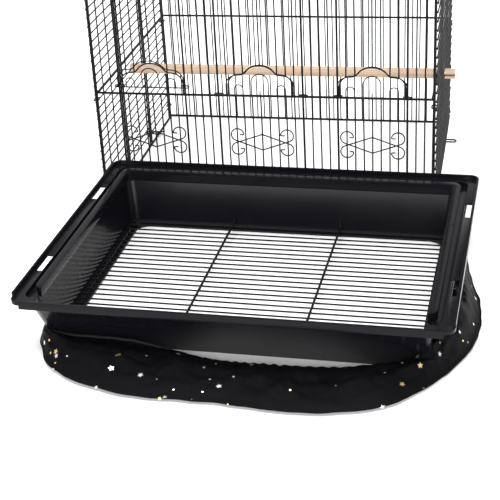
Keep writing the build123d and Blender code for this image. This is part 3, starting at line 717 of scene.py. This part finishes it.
def makeScroll(name):  # a lozenge of two wires, each ending in two curls with an inward tip
    plan = WirePlan()
    middle = feederMiddles[name]
    y = -halfDepth - thin / 2 - scroll["wire"] / 2 - cage["weldGap"]
    slope = scroll["halfHeight"] / scroll["halfWidth"]
    endX = scroll["halfWidth"] + scroll["tail"]
    endZ = scroll["tail"] * slope

    def curl(way, up):  # from the crossing's tail round to the hooked tip
        heading = math.atan2(-slope * up, 1.0)
        centre = Vector((endX, -endZ * up)) + scroll["curl"] * Vector((math.sin(heading) * up,
                                                                       -math.cos(heading) * up))
        start = math.atan2(-endZ * up - centre.y, endX - centre.x)
        points = []
        for step in range(1, scroll["steps"] + 1):
            turn = start - up * scroll["turn"] * step / scroll["steps"]
            points.append(centre + scroll["curl"] * Vector((math.cos(turn), math.sin(turn))))
        points.append(points[-1] + (centre - points[-1]).normalized() * scroll["hook"])
        return [(way * p.x, p.y) for p in points]

    for up in (1, -1):
        ridge = [(-endX, -endZ * up), (0.0, scroll["halfHeight"] * up), (endX, -endZ * up)]
        path = list(reversed(curl(-1, up))) + ridge + curl(1, up)
        bends = [0.0] * len(path)
        bends[1] = bends[-2] = scroll["tipBend"]
        bends[len(path) // 2] = scroll["ridgeBend"]
        plan.bent([(middle + x, y, scroll["z"] + z) for x, z in path], scroll["wire"], bends)
    barX = round(middle / pitch) * pitch
    plan.welds([(barX, -halfDepth - thin / 2, scroll["z"] + way * scroll["halfHeight"]) for way in (-1,
                                                                                                    1)],
               scroll["weld"])
    piece = plan.build("scroll" + name.capitalize(), cagePlace, wirePaint)
    return finishPiece(piece, "cage", "black_wire", "scroll_" + name)


cornerHook = {"wire": 0.0018, "slack": 0.0007, "rows": (1, 13, 31, 48)}
trayClip = {"wire": 0.0022, "width": 0.009, "reach": 0.014, "inside": 0.008, "spacing": 0.092,
            "weld": 0.003}


def makeCornerHooks():
    plan = WirePlan()
    middleX = (postX + halfWidth - strutStep) / 2
    middleY = (postY + strutEndY) / 2
    halfX = cage["post"] / 2 + cornerHook["slack"] + cornerHook["wire"] / 2
    halfY = (postY - strutEndY) / 2 + halfX
    for row in cornerHook["rows"]:
        z = bottomBand + (row + 0.5) * cage["rowPitch"]
        for sideX in (-1, 1):
            for sideY in (-1, 1):
                x, y = sideX * middleX, sideY * middleY
                corners = [(x - halfX, y - halfY, z), (x + halfX, y - halfY, z),
                           (x + halfX, y + halfY, z), (x - halfX, y + halfY, z)]
                plan.bent(corners, cornerHook["wire"], halfX * 0.98, True)
    piece = plan.build("cornerHooks", cagePlace, wirePaint)
    return finishPiece(piece, "cage", "black_wire", "corner_hooks")


def makeTrayClip(side, end, name, node):
    plan = WirePlan()
    z = bottomBand + cage["band"] / 2 + trayClip["wire"] / 2 + cage["weldGap"]
    near = side * (halfWidth - sideBandStep - trayClip["inside"])
    far = side * (halfWidth + trayClip["reach"])
    middle = end * trayClip["spacing"]
    half = trayClip["width"] / 2
    path = [(near, middle - half, z), (far, middle - half, z), (far, middle + half, z),
            (near, middle + half, z)]
    plan.bent(path, trayClip["wire"], half * 0.98)
    bandX = side * (halfWidth - sideBandStep)
    plan.welds([(bandX, middle + way * half, z - trayClip["wire"] / 2) for way in (-1, 1)],
               trayClip["weld"])
    piece = plan.build(name, cagePlace, wirePaint)
    return finishPiece(piece, "cage", "black_wire", node)


makeFrontPanel()
makeBackPanel()
makeSidePanel(-1, "leftPanel", "left_panel")
makeSidePanel(1, "rightPanel", "right_panel")
makeRoofPanel()
makeRoofHatch()
makeMainDoor()
for feederName in feederMiddles:
    makeFeederDoor(feederName)
    makeScroll(feederName)
makeCornerHooks()
for sideNumber, sideWord in ((-1, "left"), (1, "right")):
    for endNumber, endWord in ((-1, "front"), (1, "rear")):
        clipName = "trayClip" + sideWord.capitalize() + endWord.capitalize()
        makeTrayClip(sideNumber, endNumber, clipName, f"tray_clip_{sideWord}_{endWord}")
print("cage made")


# closed meshes from rings of points, and cuts in them
def ringsMesh(name, rings, hollow=False):
    mesh = bmesh.new()
    loops = [[mesh.verts.new(point) for point in ring] for ring in rings]
    pairs = list(zip(loops, loops[1:])) + ([(loops[-1], loops[0])] if hollow else [])
    for first, second in pairs:
        for step in range(len(first)):
            after = (step + 1) % len(first)
            mesh.faces.new((first[step], first[after], second[after], second[step]))
    if not hollow:
        mesh.faces.new(loops[0][::-1])
        mesh.faces.new(loops[-1])
    bmesh.ops.recalc_face_normals(mesh, faces=mesh.faces)
    data = bpy.data.meshes.new(name)
    mesh.to_mesh(data)
    mesh.free()
    return data


def boxMesh(lowX, highX, lowY, highY, low, high):
    corners = ((lowX, lowY), (highX, lowY), (highX, highY), (lowX, highY))
    return ringsMesh("box", [[(x, y, z) for x, y in corners] for z in (low, high)])


def carve(piece, operation, tool):
    saw = addObject("saw", tool)
    cut = piece.modifiers.new(operation, "BOOLEAN")
    cut.operation = operation
    cut.solver = "EXACT"
    cut.object = saw
    keepShape(piece)
    bpy.data.objects.remove(saw)


def dress(piece, finish, sharpDegrees, place):
    piece.data.materials.clear()
    piece.data.materials.append(finish)
    piece.data.shade_smooth()
    piece.data.set_sharp_from_angle(angle=math.radians(sharpDegrees))
    piece.data.transform(place)


# perches
perch = {"diameter": 0.0145, "leftEnd": 0.002, "overhang": 0.015, "kerf": 0.0026, "edge": 0.001,
         "sides": 48,
         "rings": 60, "outOfRound": 0.0001, "spare": 0.001}


def makePerch(name, node, row, y, seed):
    z = bottomBand + row * cage["rowPitch"]
    left = -halfWidth - perch["leftEnd"]
    right = halfWidth + perch["overhang"]
    radius = perch["diameter"] / 2
    stations = [(left, radius - perch["edge"]), (left + perch["edge"], radius)]
    for step in range(1, perch["rings"]):
        stations.append((left + (right - left) * step / perch["rings"], radius))
    stations += [(right - perch["edge"], radius), (right, radius - perch["edge"])]
    rings = []
    for x, size in stations:
        ring = []
        for step in range(perch["sides"]):
            turn = 2 * math.pi * step / perch["sides"]
            spot = Vector((x * 30, math.cos(turn) * 2, math.sin(turn) * 2 + seed))
            reach = size + perch["outOfRound"] * (noise.noise(spot) - 1)
            ring.append((x, y + reach * math.cos(turn), z + reach * math.sin(turn)))
        rings.append(ring)
    piece = addObject(name, ringsMesh(name, rings))
    kerfDepth = thin / 2 + cage["runGap"]
    for low, high in ((left - perch["spare"], kerfDepth - halfWidth),
                      (halfWidth - kerfDepth, right + perch["spare"])):
        across = radius + perch["spare"]
        tool = boxMesh(low, high, y - across, y + across, z - perch["kerf"] / 2, z + perch["kerf"] / 2)
        carve(piece, "DIFFERENCE", tool)
    dress(piece, perchWood, 35, cagePlace)
    return finishPiece(piece, "cage", "perch_wood", node)


makePerch("lowerPerch", "lower_perch", 12, 0.002, 1.0)
makePerch("upperPerch", "upper_perch", 34, 0.036, 5.0)
print("perches made")


# base tray: drafted walls, stepped rim on three sides, plain slanted front
tray = {
    "halfX": 0.245, "halfY": 0.195, "height": 0.075, "wall": 0.0025, "lip": 0.009, "flangeDrop": 0.005,
    "flange": 0.013, "channelDrop": 0.011, "ridge": 0.009, "ridgeSide": 0.021, "ridgeEnd": 0.026,
    "footSide": 0.029, "footEnd": 0.039, "draft": 0.006, "frontBand": 0.004, "ledgeSide": 0.0115,
    "ledgeEnd": 0.0065, "ledgeTop": 0.008, "ledgeStep": 0.005, "slotInset": 0.004, "slotWidth": 0.008,
    "slotHalf": 0.020, "slotSpacing": 0.099, "corner": 0.012, "openCorner": 0.016, "softCorner": 0.003,
    "cornerSteps": 8, "spare": 0.001, "edge": 0.0009,
}


def rimRing(insets, z, corner):  # a rounded rectangle by its side, rear and front insets
    side, rear, front = insets
    right, top, bottom = tray["halfX"] - side, tray["halfY"] - rear, front - tray["halfY"]
    corners = ((right - corner, top - corner), (corner - right, top - corner),
               (corner - right, bottom + corner), (right - corner, bottom + corner))
    points = []
    for number, (x, y) in enumerate(corners):
        for step in range(tray["cornerSteps"] + 1):
            turn = math.pi / 2 * (number + step / tray["cornerSteps"])
            points.append((x + corner * math.cos(turn), y + corner * math.sin(turn), z))
    return points


def trayBlock(low, high, lowInsets, highInsets, corner):
    return ringsMesh("trayBlock", [rimRing(lowInsets, low, corner), rimRing(highInsets, high, corner)])


def trayFrame(low, high, outer, inner):
    outerCorner = tray["corner"]
    innerCorner = max(outerCorner - inner[0] + outer[0], 0.002)
    rings = [rimRing(outer, low, outerCorner), rimRing(outer, high, outerCorner),
             rimRing(inner, high, innerCorner), rimRing(inner, low, innerCorner)]
    return ringsMesh("trayFrame", rings, True)


def makeBaseTray():
    top, wall, spare = tray["height"], tray["wall"], tray["spare"]
    flangeTop = top - tray["flangeDrop"]
    channel = top - tray["channelDrop"]
    under = channel - wall
    foot = (tray["footSide"], tray["footEnd"], tray["footEnd"])
    rimFoot = (foot[0] - tray["draft"], foot[1] - tray["draft"], tray["frontBand"] / 2)
    innerFoot = tuple(inset + wall for inset in foot)
    innerRim = tuple(inset + wall for inset in rimFoot)
    opening = (innerFoot[0] + tray["ledgeSide"],) + (innerFoot[1] + tray["ledgeEnd"],) * 2
    stepped = tuple(inset - tray["ledgeStep"] for inset in opening)
    ridgeOut = (tray["ridgeSide"],) + (tray["ridgeEnd"],) * 2
    ridgeIn = tuple(inset + tray["ridge"] for inset in ridgeOut)
    edge, flange, stepIn = (0, 0, 0), (tray["flange"],) * 3, (tray["flange"] - wall,) * 3
    frontY = -tray["halfY"]
    bandX = tray["halfX"] - tray["corner"]
    piece = addObject("baseTray", trayBlock(0, channel, foot, rimFoot, tray["corner"]))
    for tool in (trayFrame(under, channel, stepIn, ridgeIn), trayFrame(under, top, ridgeOut, ridgeIn),
                 trayFrame(under, flangeTop, stepIn, flange),
                 trayFrame(flangeTop - wall, flangeTop, edge, flange),
                 trayFrame(top - tray["lip"], top, edge, (wall,) * 3),
                 boxMesh(-bandX, bandX, frontY, frontY + tray["frontBand"], under, flangeTop)):
        carve(piece, "UNION", tool)
    well = (ridgeIn[0], ridgeIn[1], tray["frontBand"])
    tools = [trayBlock(tray["ledgeTop"], channel, innerFoot, innerRim, tray["corner"]),
             trayBlock(under, top + spare, well, well, tray["softCorner"]),
             trayBlock(tray["ledgeTop"] - tray["ledgeStep"], tray["ledgeTop"] + spare, stepped, stepped,
                       tray["openCorner"] + tray["ledgeStep"]),
             trayBlock(-spare, tray["ledgeTop"] + spare, opening, opening, tray["openCorner"]),
             boxMesh(-1, 1, frontY - spare, frontY + tray["flange"], flangeTop, top + spare)]
    slotX = tray["halfX"] - tray["slotInset"]
    for way in (-1, 1):
        for end in (-1, 1):
            ends = sorted((way * slotX, way * (slotX - tray["slotWidth"])))
            middle = end * tray["slotSpacing"]
            tools.append(boxMesh(*ends, middle - tray["slotHalf"], middle + tray["slotHalf"],
                                 flangeTop - wall - spare, flangeTop + spare))
    for tool in tools:
        carve(piece, "DIFFERENCE", tool)
    soften = piece.modifiers.new("softEdges", "BEVEL")
    soften.width = tray["edge"]
    soften.segments = 3
    soften.limit_method = "ANGLE"
    soften.angle_limit = math.radians(40)
    keepShape(piece)
    dress(piece, trayPlastic, 40, trayPlace)
    return finishPiece(piece, "tray", "tray_plastic", "base_tray")


mouldMarks = {"places": (0.048, -0.079), "radius": 0.009, "thick": 0.0009, "steps": 10}


def makeMouldMarks():  # raised half rings left by the mould across the right ridge
    plan = WirePlan()
    middleX = tray["halfX"] - tray["ridgeSide"] - tray["ridge"] / 2
    for y in mouldMarks["places"]:
        path = []
        for step in range(mouldMarks["steps"] + 1):
            turn = math.radians(40 + 100 * step / mouldMarks["steps"])
            reach = mouldMarks["radius"] * 0.42 / math.cos(math.radians(50))
            path.append((middleX + reach * math.cos(turn), y + reach * (math.sin(turn) - 1),
                         tray["height"]))
        plan.bent(path, mouldMarks["thick"], 0.0)
    piece = plan.build("mouldMarks", trayPlace, trayPlastic)
    return finishPiece(piece, "tray", "tray_plastic")


makeBaseTray()
makeMouldMarks()
print("tray made")


# floor grate
grate = {"pitch": 0.0119, "halfRows": 12, "wire": 0.0022, "cross": 0.003, "crossX": 0.071, "weld": 0.003,
         "turnUp": 0.009,
         "turnRadius": 0.005, "sideGap": 0.002, "endClear": 0.001}


def makeFloorGrate():
    plan = WirePlan()
    z = tray["ledgeTop"] + cage["seatGap"] + grate["wire"] / 2
    crossZ = z + grate["wire"] / 2 + grate["cross"] / 2 + cage["weldGap"]
    halfX = tray["halfX"] - tray["footSide"] - tray["wall"] - grate["sideGap"] - grate["endClear"]
    halfY = tray["halfY"] - tray["footEnd"] - tray["wall"] - grate["sideGap"]
    for row in range(-grate["halfRows"], grate["halfRows"] + 1):
        y = row * grate["pitch"]
        plan.straight((-halfX, y, z), (halfX, y, z), grate["wire"])
        plan.welds([(way * grate["crossX"], y, z + grate["wire"] / 2) for way in (-1, 1)], grate["weld"])
    for way in (-1, 1):
        x = way * grate["crossX"]
        tip = crossZ + grate["turnUp"]
        path = [(x, -halfY, tip), (x, -halfY, crossZ), (x, halfY, crossZ), (x, halfY, tip)]
        plan.bent(path, grate["cross"], grate["turnRadius"])
    piece = plan.build("floorGrate", trayPlace, wirePaint, stray=0.0006, seed=19)
    return finishPiece(piece, "grate", "black_wire", "floor_grate", "grate_cross_left",
                       "grate_cross_right")


makeFloorGrate()
print("grate made")


# seed skirt: a gathered sheer band puffed round the tray's foot
skirt = {
    "outline": [(-0.223, 0.172), (-0.236, 0.09), (-0.238, -0.06), (-0.224, -0.17), (-0.190, -0.222),
                (-0.120, -0.254), (0.0, -0.260), (0.120, -0.262), (0.180, -0.240), (0.232, -0.175),
                (0.262, -0.100), (0.264, -0.030), (0.248, 0.045), (0.236, 0.11), (0.218, 0.172),
                (0.1, 0.181), (-0.1, 0.181)],
    "innerX": 0.222, "innerY": 0.1715, "innerMiddle": -0.0065, "around": 560, "across": 40,
    "hemStart": 0.92, "hem": 0.05, "edgeHeight": 0.0035, "floorGap": 0.0009, "gathers": 110,
    "gatherDepth": 0.0012, "gatherDrift": 5.0, "lump": 0.008, "crease": 0.006, "fine": 0.0014,
    "frill": 0.002, "cornerPower": 12.0, "clothRadius": 0.27, "clothWidth": 0.2,
    "innerLayers": 2.4, "layersLost": 2.9, "hemLayers": 0.9,
}
band = {"steps": 260, "thick": 0.0034, "outside": 0.001, "waver": 0.0003, "waverRate": 1.7,
        "lowest": 0.0022}


def smoothValue(keys, angle):  # periodic smooth curve through (angle, value) pairs
    keys = sorted(keys)
    count = len(keys)
    for number in range(count):
        a1, v1 = keys[number]
        a2, v2 = keys[(number + 1) % count]
        if number == count - 1:
            a2 += 2 * math.pi
            angle += 2 * math.pi if angle < a1 else 0.0
        if a1 <= angle <= a2:
            a0, v0 = keys[number - 1]
            a3, v3 = keys[(number + 2) % count]
            a0 -= 2 * math.pi if a0 > a1 else 0.0
            a3 += 2 * math.pi if a3 < a2 else 0.0
            m1 = (v2 - v0) / (a2 - a0)
            m2 = (v3 - v1) / (a3 - a1)
            h = a2 - a1
            t = (angle - a1) / h
            return ((2 * t**3 - 3 * t**2 + 1) * v1 + (t**3 - 2 * t**2 + t) * h * m1
                    + (3 * t**2 - 2 * t**3) * v2 + (t**3 - t**2) * h * m2)
    return keys[0][1]


outlineKeys = [(math.atan2(y, x), math.hypot(x, y)) for x, y in skirt["outline"]]
def byDirection(*keys):  # (degrees, value) pairs, by direction from the tray's middle
    return [(math.radians(degrees), value) for degrees, value in keys]


innerHeights = byDirection(
    (-180, 0.024), (-150, 0.022), (-125, 0.020), (-110, 0.010), (-95, 0.004), (-60, 0.004),
    (-45, 0.012), (-30, 0.030), (0, 0.032), (40, 0.026), (90, 0.024), (140, 0.024))
puffHeights = byDirection(
    (-180, 0.026), (-150, 0.022), (-125, 0.018), (-100, 0.012), (-75, 0.012), (-52, 0.016),
    (-38, 0.030), (-25, 0.040), (-5, 0.038), (20, 0.034), (45, 0.030), (90, 0.026), (140, 0.026))
innerShifts = byDirection(
    (-180, 0.0), (-140, -0.002), (-125, -0.006), (-112, -0.004), (-95, 0.001), (-60, 0.001),
    (-40, -0.004), (0, 0.0), (90, 0.0))


def innerRadius(angle):
    x, y = math.cos(angle), math.sin(angle)
    power = skirt["cornerPower"]
    reachY = skirt["innerY"] + (skirt["innerMiddle"] if y > 0 else -skirt["innerMiddle"])
    return (abs(x / skirt["innerX"]) ** power + abs(y / reachY) ** power) ** (-1 / power)


def unevenness(x, y, scale, layer):
    return noise.noise(Vector((x * scale, y * scale, layer)))


def makeSkirtMesh():
    around, across = skirt["around"], skirt["across"]
    points, layers, cloth = [], [], []
    for u in range(around):
        angle = 2 * math.pi * u / around - math.pi
        inner = innerRadius(angle) + smoothValue(innerShifts, angle)
        outer = smoothValue(outlineKeys, angle)
        innerZ = smoothValue(innerHeights, angle)
        puff = smoothValue(puffHeights, angle)
        eastward, northward = math.cos(angle), math.sin(angle)
        drift = skirt["gatherDrift"] * unevenness(eastward, northward, 3, 2)
        gather = (math.sin(skirt["gathers"] * angle + drift)
                  * (0.6 + 0.8 * unevenness(eastward, northward, 9, 7)))
        for v in range(across + 1):
            s = v / across
            hemmed = s > skirt["hemStart"]
            f = min(1.0, s / skirt["hemStart"])
            rise = math.sin(math.pi * f**0.6) ** 0.8
            base = innerZ * (1 - f) ** 1.6
            z = (base + (puff - base) * rise) * (1 - f**5) + skirt["edgeHeight"] * f**5
            if hemmed:
                g = (s - skirt["hemStart"]) / (1 - skirt["hemStart"])
                f = 1 - skirt["hem"] * g
                z = skirt["edgeHeight"] * (1 - g) + skirt["floorGap"]
            radius = inner + (outer - inner) * f
            x, y = radius * math.cos(angle), radius * math.sin(angle)
            billow = math.sin(math.pi * f) * (not hemmed)
            lump = unevenness(x, y, 20, 1.7) * skirt["lump"]
            crease = unevenness(angle * 9, f * 5, 1, 3.1) * skirt["crease"]
            fine = unevenness(x, y, 110, 4.2) * skirt["fine"]
            z += billow * (lump + crease + fine) + gather * skirt["gatherDepth"] * (1 - f) ** 1.3
            frill = unevenness(eastward, northward, 12, 0.5) * skirt["frill"] * f
            x += frill * eastward
            y += frill * northward
            points.append((x, y, max(z, skirt["floorGap"])))
            depth = skirt["innerLayers"] - skirt["layersLost"] * f
            layers.append(max(0.0, min(1.0, depth + (skirt["hemLayers"] if hemmed else 0.0))))
            cloth.append((angle * skirt["clothRadius"], s * skirt["clothWidth"]))
    faces = []
    for u in range(around):
        for v in range(across):
            a = u * (across + 1) + v
            b = ((u + 1) % around) * (across + 1) + v
            faces.append((a, a + 1, b + 1, b))
    mesh = bpy.data.meshes.new("seedSkirt")
    mesh.from_pydata(points, [], faces)
    mesh.attributes.new("layers", "FLOAT", "POINT").data.foreach_set("value", layers)
    coordinates = mesh.uv_layers.new(name="cloth")
    for loop in mesh.loops:
        coordinates.data[loop.index].uv = cloth[loop.vertex_index]
    mesh.shade_smooth()
    mesh.materials.append(organza)
    return mesh


skirtMesh = makeSkirtMesh()
skirtMesh.transform(trayPlace)
seedSkirt = addObject("seedSkirt", skirtMesh)
finishPiece(seedSkirt, "tray", "organza", "seed_skirt")


def makeSkirtElastic():
    plan = WirePlan()
    path = []
    for step in range(band["steps"]):
        angle = 2 * math.pi * step / band["steps"] - math.pi
        radius = innerRadius(angle) + smoothValue(innerShifts, angle) + band["outside"]
        z = smoothValue(innerHeights, angle) + band["waver"] * math.sin(step * band["waverRate"])
        path.append((radius * math.cos(angle), radius * math.sin(angle), max(z, band["lowest"])))
    plan.bent(path, band["thick"], 0.0, True)
    piece = plan.build("skirtElastic", trayPlace, elastic, sides=12)
    return finishPiece(piece, "tray", "elastic", "skirt_elastic")


makeSkirtElastic()


# foil stars, dots and moons stamped on the skirt
def makeFoilTree():
    tree, given, put = startGroup(
        "foilScatter", "GeometryNodeTree",
        [("Cloth", "NodeSocketGeometry", None), ("Density", "NodeSocketFloat", 600.0),
         ("Star Size", "NodeSocketFloat", 0.0022), ("Dot Size", "NodeSocketFloat", 0.001),
         ("Moon Size", "NodeSocketFloat", 0.0018), ("Lift", "NodeSocketFloat", 0.0004),
         ("Seed", "NodeSocketInt", 1), ("Finish", "NodeSocketMaterial", None)],
        [("Foil", "NodeSocketGeometry")])
    normal = addNode(tree, "GeometryNodeInputNormal").outputs[0]
    upward = addNode(tree, "ShaderNodeSeparateXYZ", {0: normal}).outputs[2]
    facing = addNode(tree, "FunctionNodeCompare", {0: upward, 1: 0.05},
                     operation="GREATER_THAN").outputs[0]
    spots = addNode(tree, "GeometryNodeDistributePointsOnFaces",
                    {"Mesh": given["Cloth"], "Selection": facing, "Density": given["Density"],
                     "Seed": given["Seed"]})
    tone = addNode(tree, "FunctionNodeRandomValue", {"Seed": 3}, data_type="FLOAT").outputs[1]
    toned = addNode(tree, "GeometryNodeStoreNamedAttribute",
                    {"Geometry": spots.outputs["Points"], "Name": "tone", "Value": tone}).outputs[0]
    inner = calc(tree, "MULTIPLY", given["Star Size"], 0.45)
    star = addNode(tree, "GeometryNodeCurveStar",
                   {"Points": 5, "Inner Radius": inner, "Outer Radius": given["Star Size"]}).outputs[0]
    dot = addNode(tree, "GeometryNodeCurvePrimitiveCircle",
                  {"Resolution": 9, "Radius": given["Dot Size"]}).outputs[0]
    arc = addNode(tree, "GeometryNodeCurveArc",
                  {"Resolution": 9, "Radius": given["Moon Size"],
                   "Sweep Angle": math.radians(200)}).outputs[0]
    share = addNode(tree, "GeometryNodeSplineParameter").outputs[0]
    taper = calc(tree, "SINE", calc(tree, "MULTIPLY", share, math.pi))
    width = addNode(tree, "GeometryNodeCurvePrimitiveLine",
                    {"Start": (-0.0004, 0, 0), "End": (0.0004, 0, 0)}).outputs[0]
    moon = addNode(tree, "GeometryNodeCurveToMesh",
                   {"Curve": arc, "Profile Curve": width, "Scale": taper}).outputs[0]
    shapes = [addNode(tree, "GeometryNodeFillCurve", {0: shape}).outputs[0] for shape in (star,
                                                                                          dot)] + [moon]
    kind = addNode(tree, "FunctionNodeRandomValue", {"Seed": 8}, data_type="FLOAT").outputs[1]
    spin = addNode(tree, "FunctionNodeRandomValue", {0: (0, 0, 0), 1: (0, 0, 2 * math.pi), "Seed": 5},
                   data_type="FLOAT_VECTOR").outputs[0]
    turned = addNode(tree, "FunctionNodeRotateRotation",
                     {"Rotation": spots.outputs["Rotation"], "Rotate By": spin},
                     rotation_space="LOCAL").outputs[0]
    size = addNode(tree, "FunctionNodeRandomValue", {2: 0.6, 3: 1.2, "Seed": 6},
                   data_type="FLOAT").outputs[1]
    joined = addNode(tree, "GeometryNodeJoinGeometry")
    for shape, low, high in zip(shapes, (-0.1, 0.42, 0.96), (0.42, 0.96, 1.1)):
        above = calc(tree, "GREATER_THAN", kind, low)
        below = calc(tree, "LESS_THAN", kind, high)
        chosen = addNode(tree, "GeometryNodeInstanceOnPoints",
                         {"Points": toned, "Selection": calc(tree, "MULTIPLY", above, below),
                          "Instance": shape,
                          "Rotation": turned, "Scale": size}).outputs[0]
        tree.links.new(chosen, joined.inputs[0])
    raised = addNode(tree, "GeometryNodeTranslateInstances", {"Instances": joined.outputs[0]})
    lift = addNode(tree, "ShaderNodeCombineXYZ", {2: given["Lift"]}).outputs[0]
    tree.links.new(lift, raised.inputs["Translation"])
    whole = addNode(tree, "GeometryNodeRealizeInstances", {0: raised.outputs[0]}).outputs[0]
    done = addNode(tree, "GeometryNodeSetMaterial",
                   {"Geometry": whole, "Material": given["Finish"]}).outputs[0]
    tree.links.new(done, put["Foil"])
    return tree


def makeSkirtFoil():
    piece = addObject("skirtFoil", skirtMesh.copy())
    values = {"Density": 950.0, "Star Size": 0.0033, "Dot Size": 0.0013, "Moon Size": 0.0028,
              "Lift": 0.0006}
    runTree(piece, makeFoilTree(), {**values, "Seed": 4, "Finish": foil})
    for label in [a.name for a in piece.data.attributes if a.name in ("layers", "cloth")]:
        piece.data.attributes.remove(piece.data.attributes[label])
    return finishPiece(piece, "tray", "organza")


makeSkirtFoil()
print("skirt made")


# floor, light and camera
def makeStage():
    mesh = bpy.data.meshes.new("studioFloor")
    half = 6.0
    mesh.from_pydata([(-half, -half, 0), (half, -half, 0), (half, half, 0), (-half, half, 0)], [],
                     [(0, 1, 2, 3)])
    mesh.materials.append(makeFloor())
    addObject("studioFloor", mesh)


studio = {"zenith": 0.55, "horizon": 1.0, "topWatts": 120.0, "topSize": 2.6,
          "topPlace": (0.0, 0.1, 2.4),
          "frontWatts": 80.0, "frontSize": 2.0, "frontPlace": (0.2, -2.6, 0.6)}


def addPanel(name, watts, size, place):
    data = bpy.data.lights.new(name, "AREA")
    data.energy = watts
    data.size = size
    lamp = addObject(name, data)
    lamp.location = place
    aim = Vector((0, 0, 0)) - Vector(place)
    lamp.rotation_euler = aim.to_track_quat("-Z", "Y").to_euler()


def makeLight():
    world = bpy.data.worlds.new("studio")
    world.use_nodes = True
    tree = world.node_tree
    direction = tree.nodes.new("ShaderNodeTexCoord").outputs["Generated"]
    upward = addNode(tree, "ShaderNodeSeparateXYZ", {0: direction}).outputs[2]
    strength = addNode(tree, "ShaderNodeMapRange",
                       {"Value": upward, "From Max": 0.8, "To Min": studio["horizon"],
                                                    "To Max": studio["zenith"]}).outputs[0]
    tree.links.new(strength, tree.nodes["Background"].inputs[1])
    tree.nodes["Background"].inputs[0].default_value = (1, 1, 1, 1)
    scene.world = world
    addPanel("topPanel", studio["topWatts"], studio["topSize"], studio["topPlace"])
    addPanel("frontPanelLight", studio["frontWatts"], studio["frontSize"], studio["frontPlace"])


camera = {"lens": 93.54, "sensor": 36.0, "fromTray": (0.3214, -1.3526, 0.7571), "left": 13.95,
          "down": 26.9,
          "roll": -3.14}


def makeCamera():
    data = bpy.data.cameras.new("camera")
    data.lens = camera["lens"]
    data.sensor_width = camera["sensor"]
    eye = addObject("camera", data)
    yaw, pitchDown, roll = (math.radians(camera[key]) for key in ("left", "down", "roll"))
    forward = Vector((-math.sin(yaw) * math.cos(pitchDown), math.cos(yaw) * math.cos(pitchDown),
                      -math.sin(pitchDown)))
    right = Vector((math.cos(yaw), math.sin(yaw), 0))
    up = right.cross(forward)
    across = math.cos(roll) * right + math.sin(roll) * up
    upright = math.cos(roll) * up - math.sin(roll) * right
    turn = Matrix((across, upright, -forward)).transposed().to_4x4()
    place = Vector(camera["fromTray"]) + Vector((trayMiddle.x, trayMiddle.y, 0))
    eye.matrix_world = Matrix.Translation(place) @ turn
    scene.camera = eye


makeStage()
makeLight()
makeCamera()
scene.view_settings.view_transform = "Standard"
print("stage made")
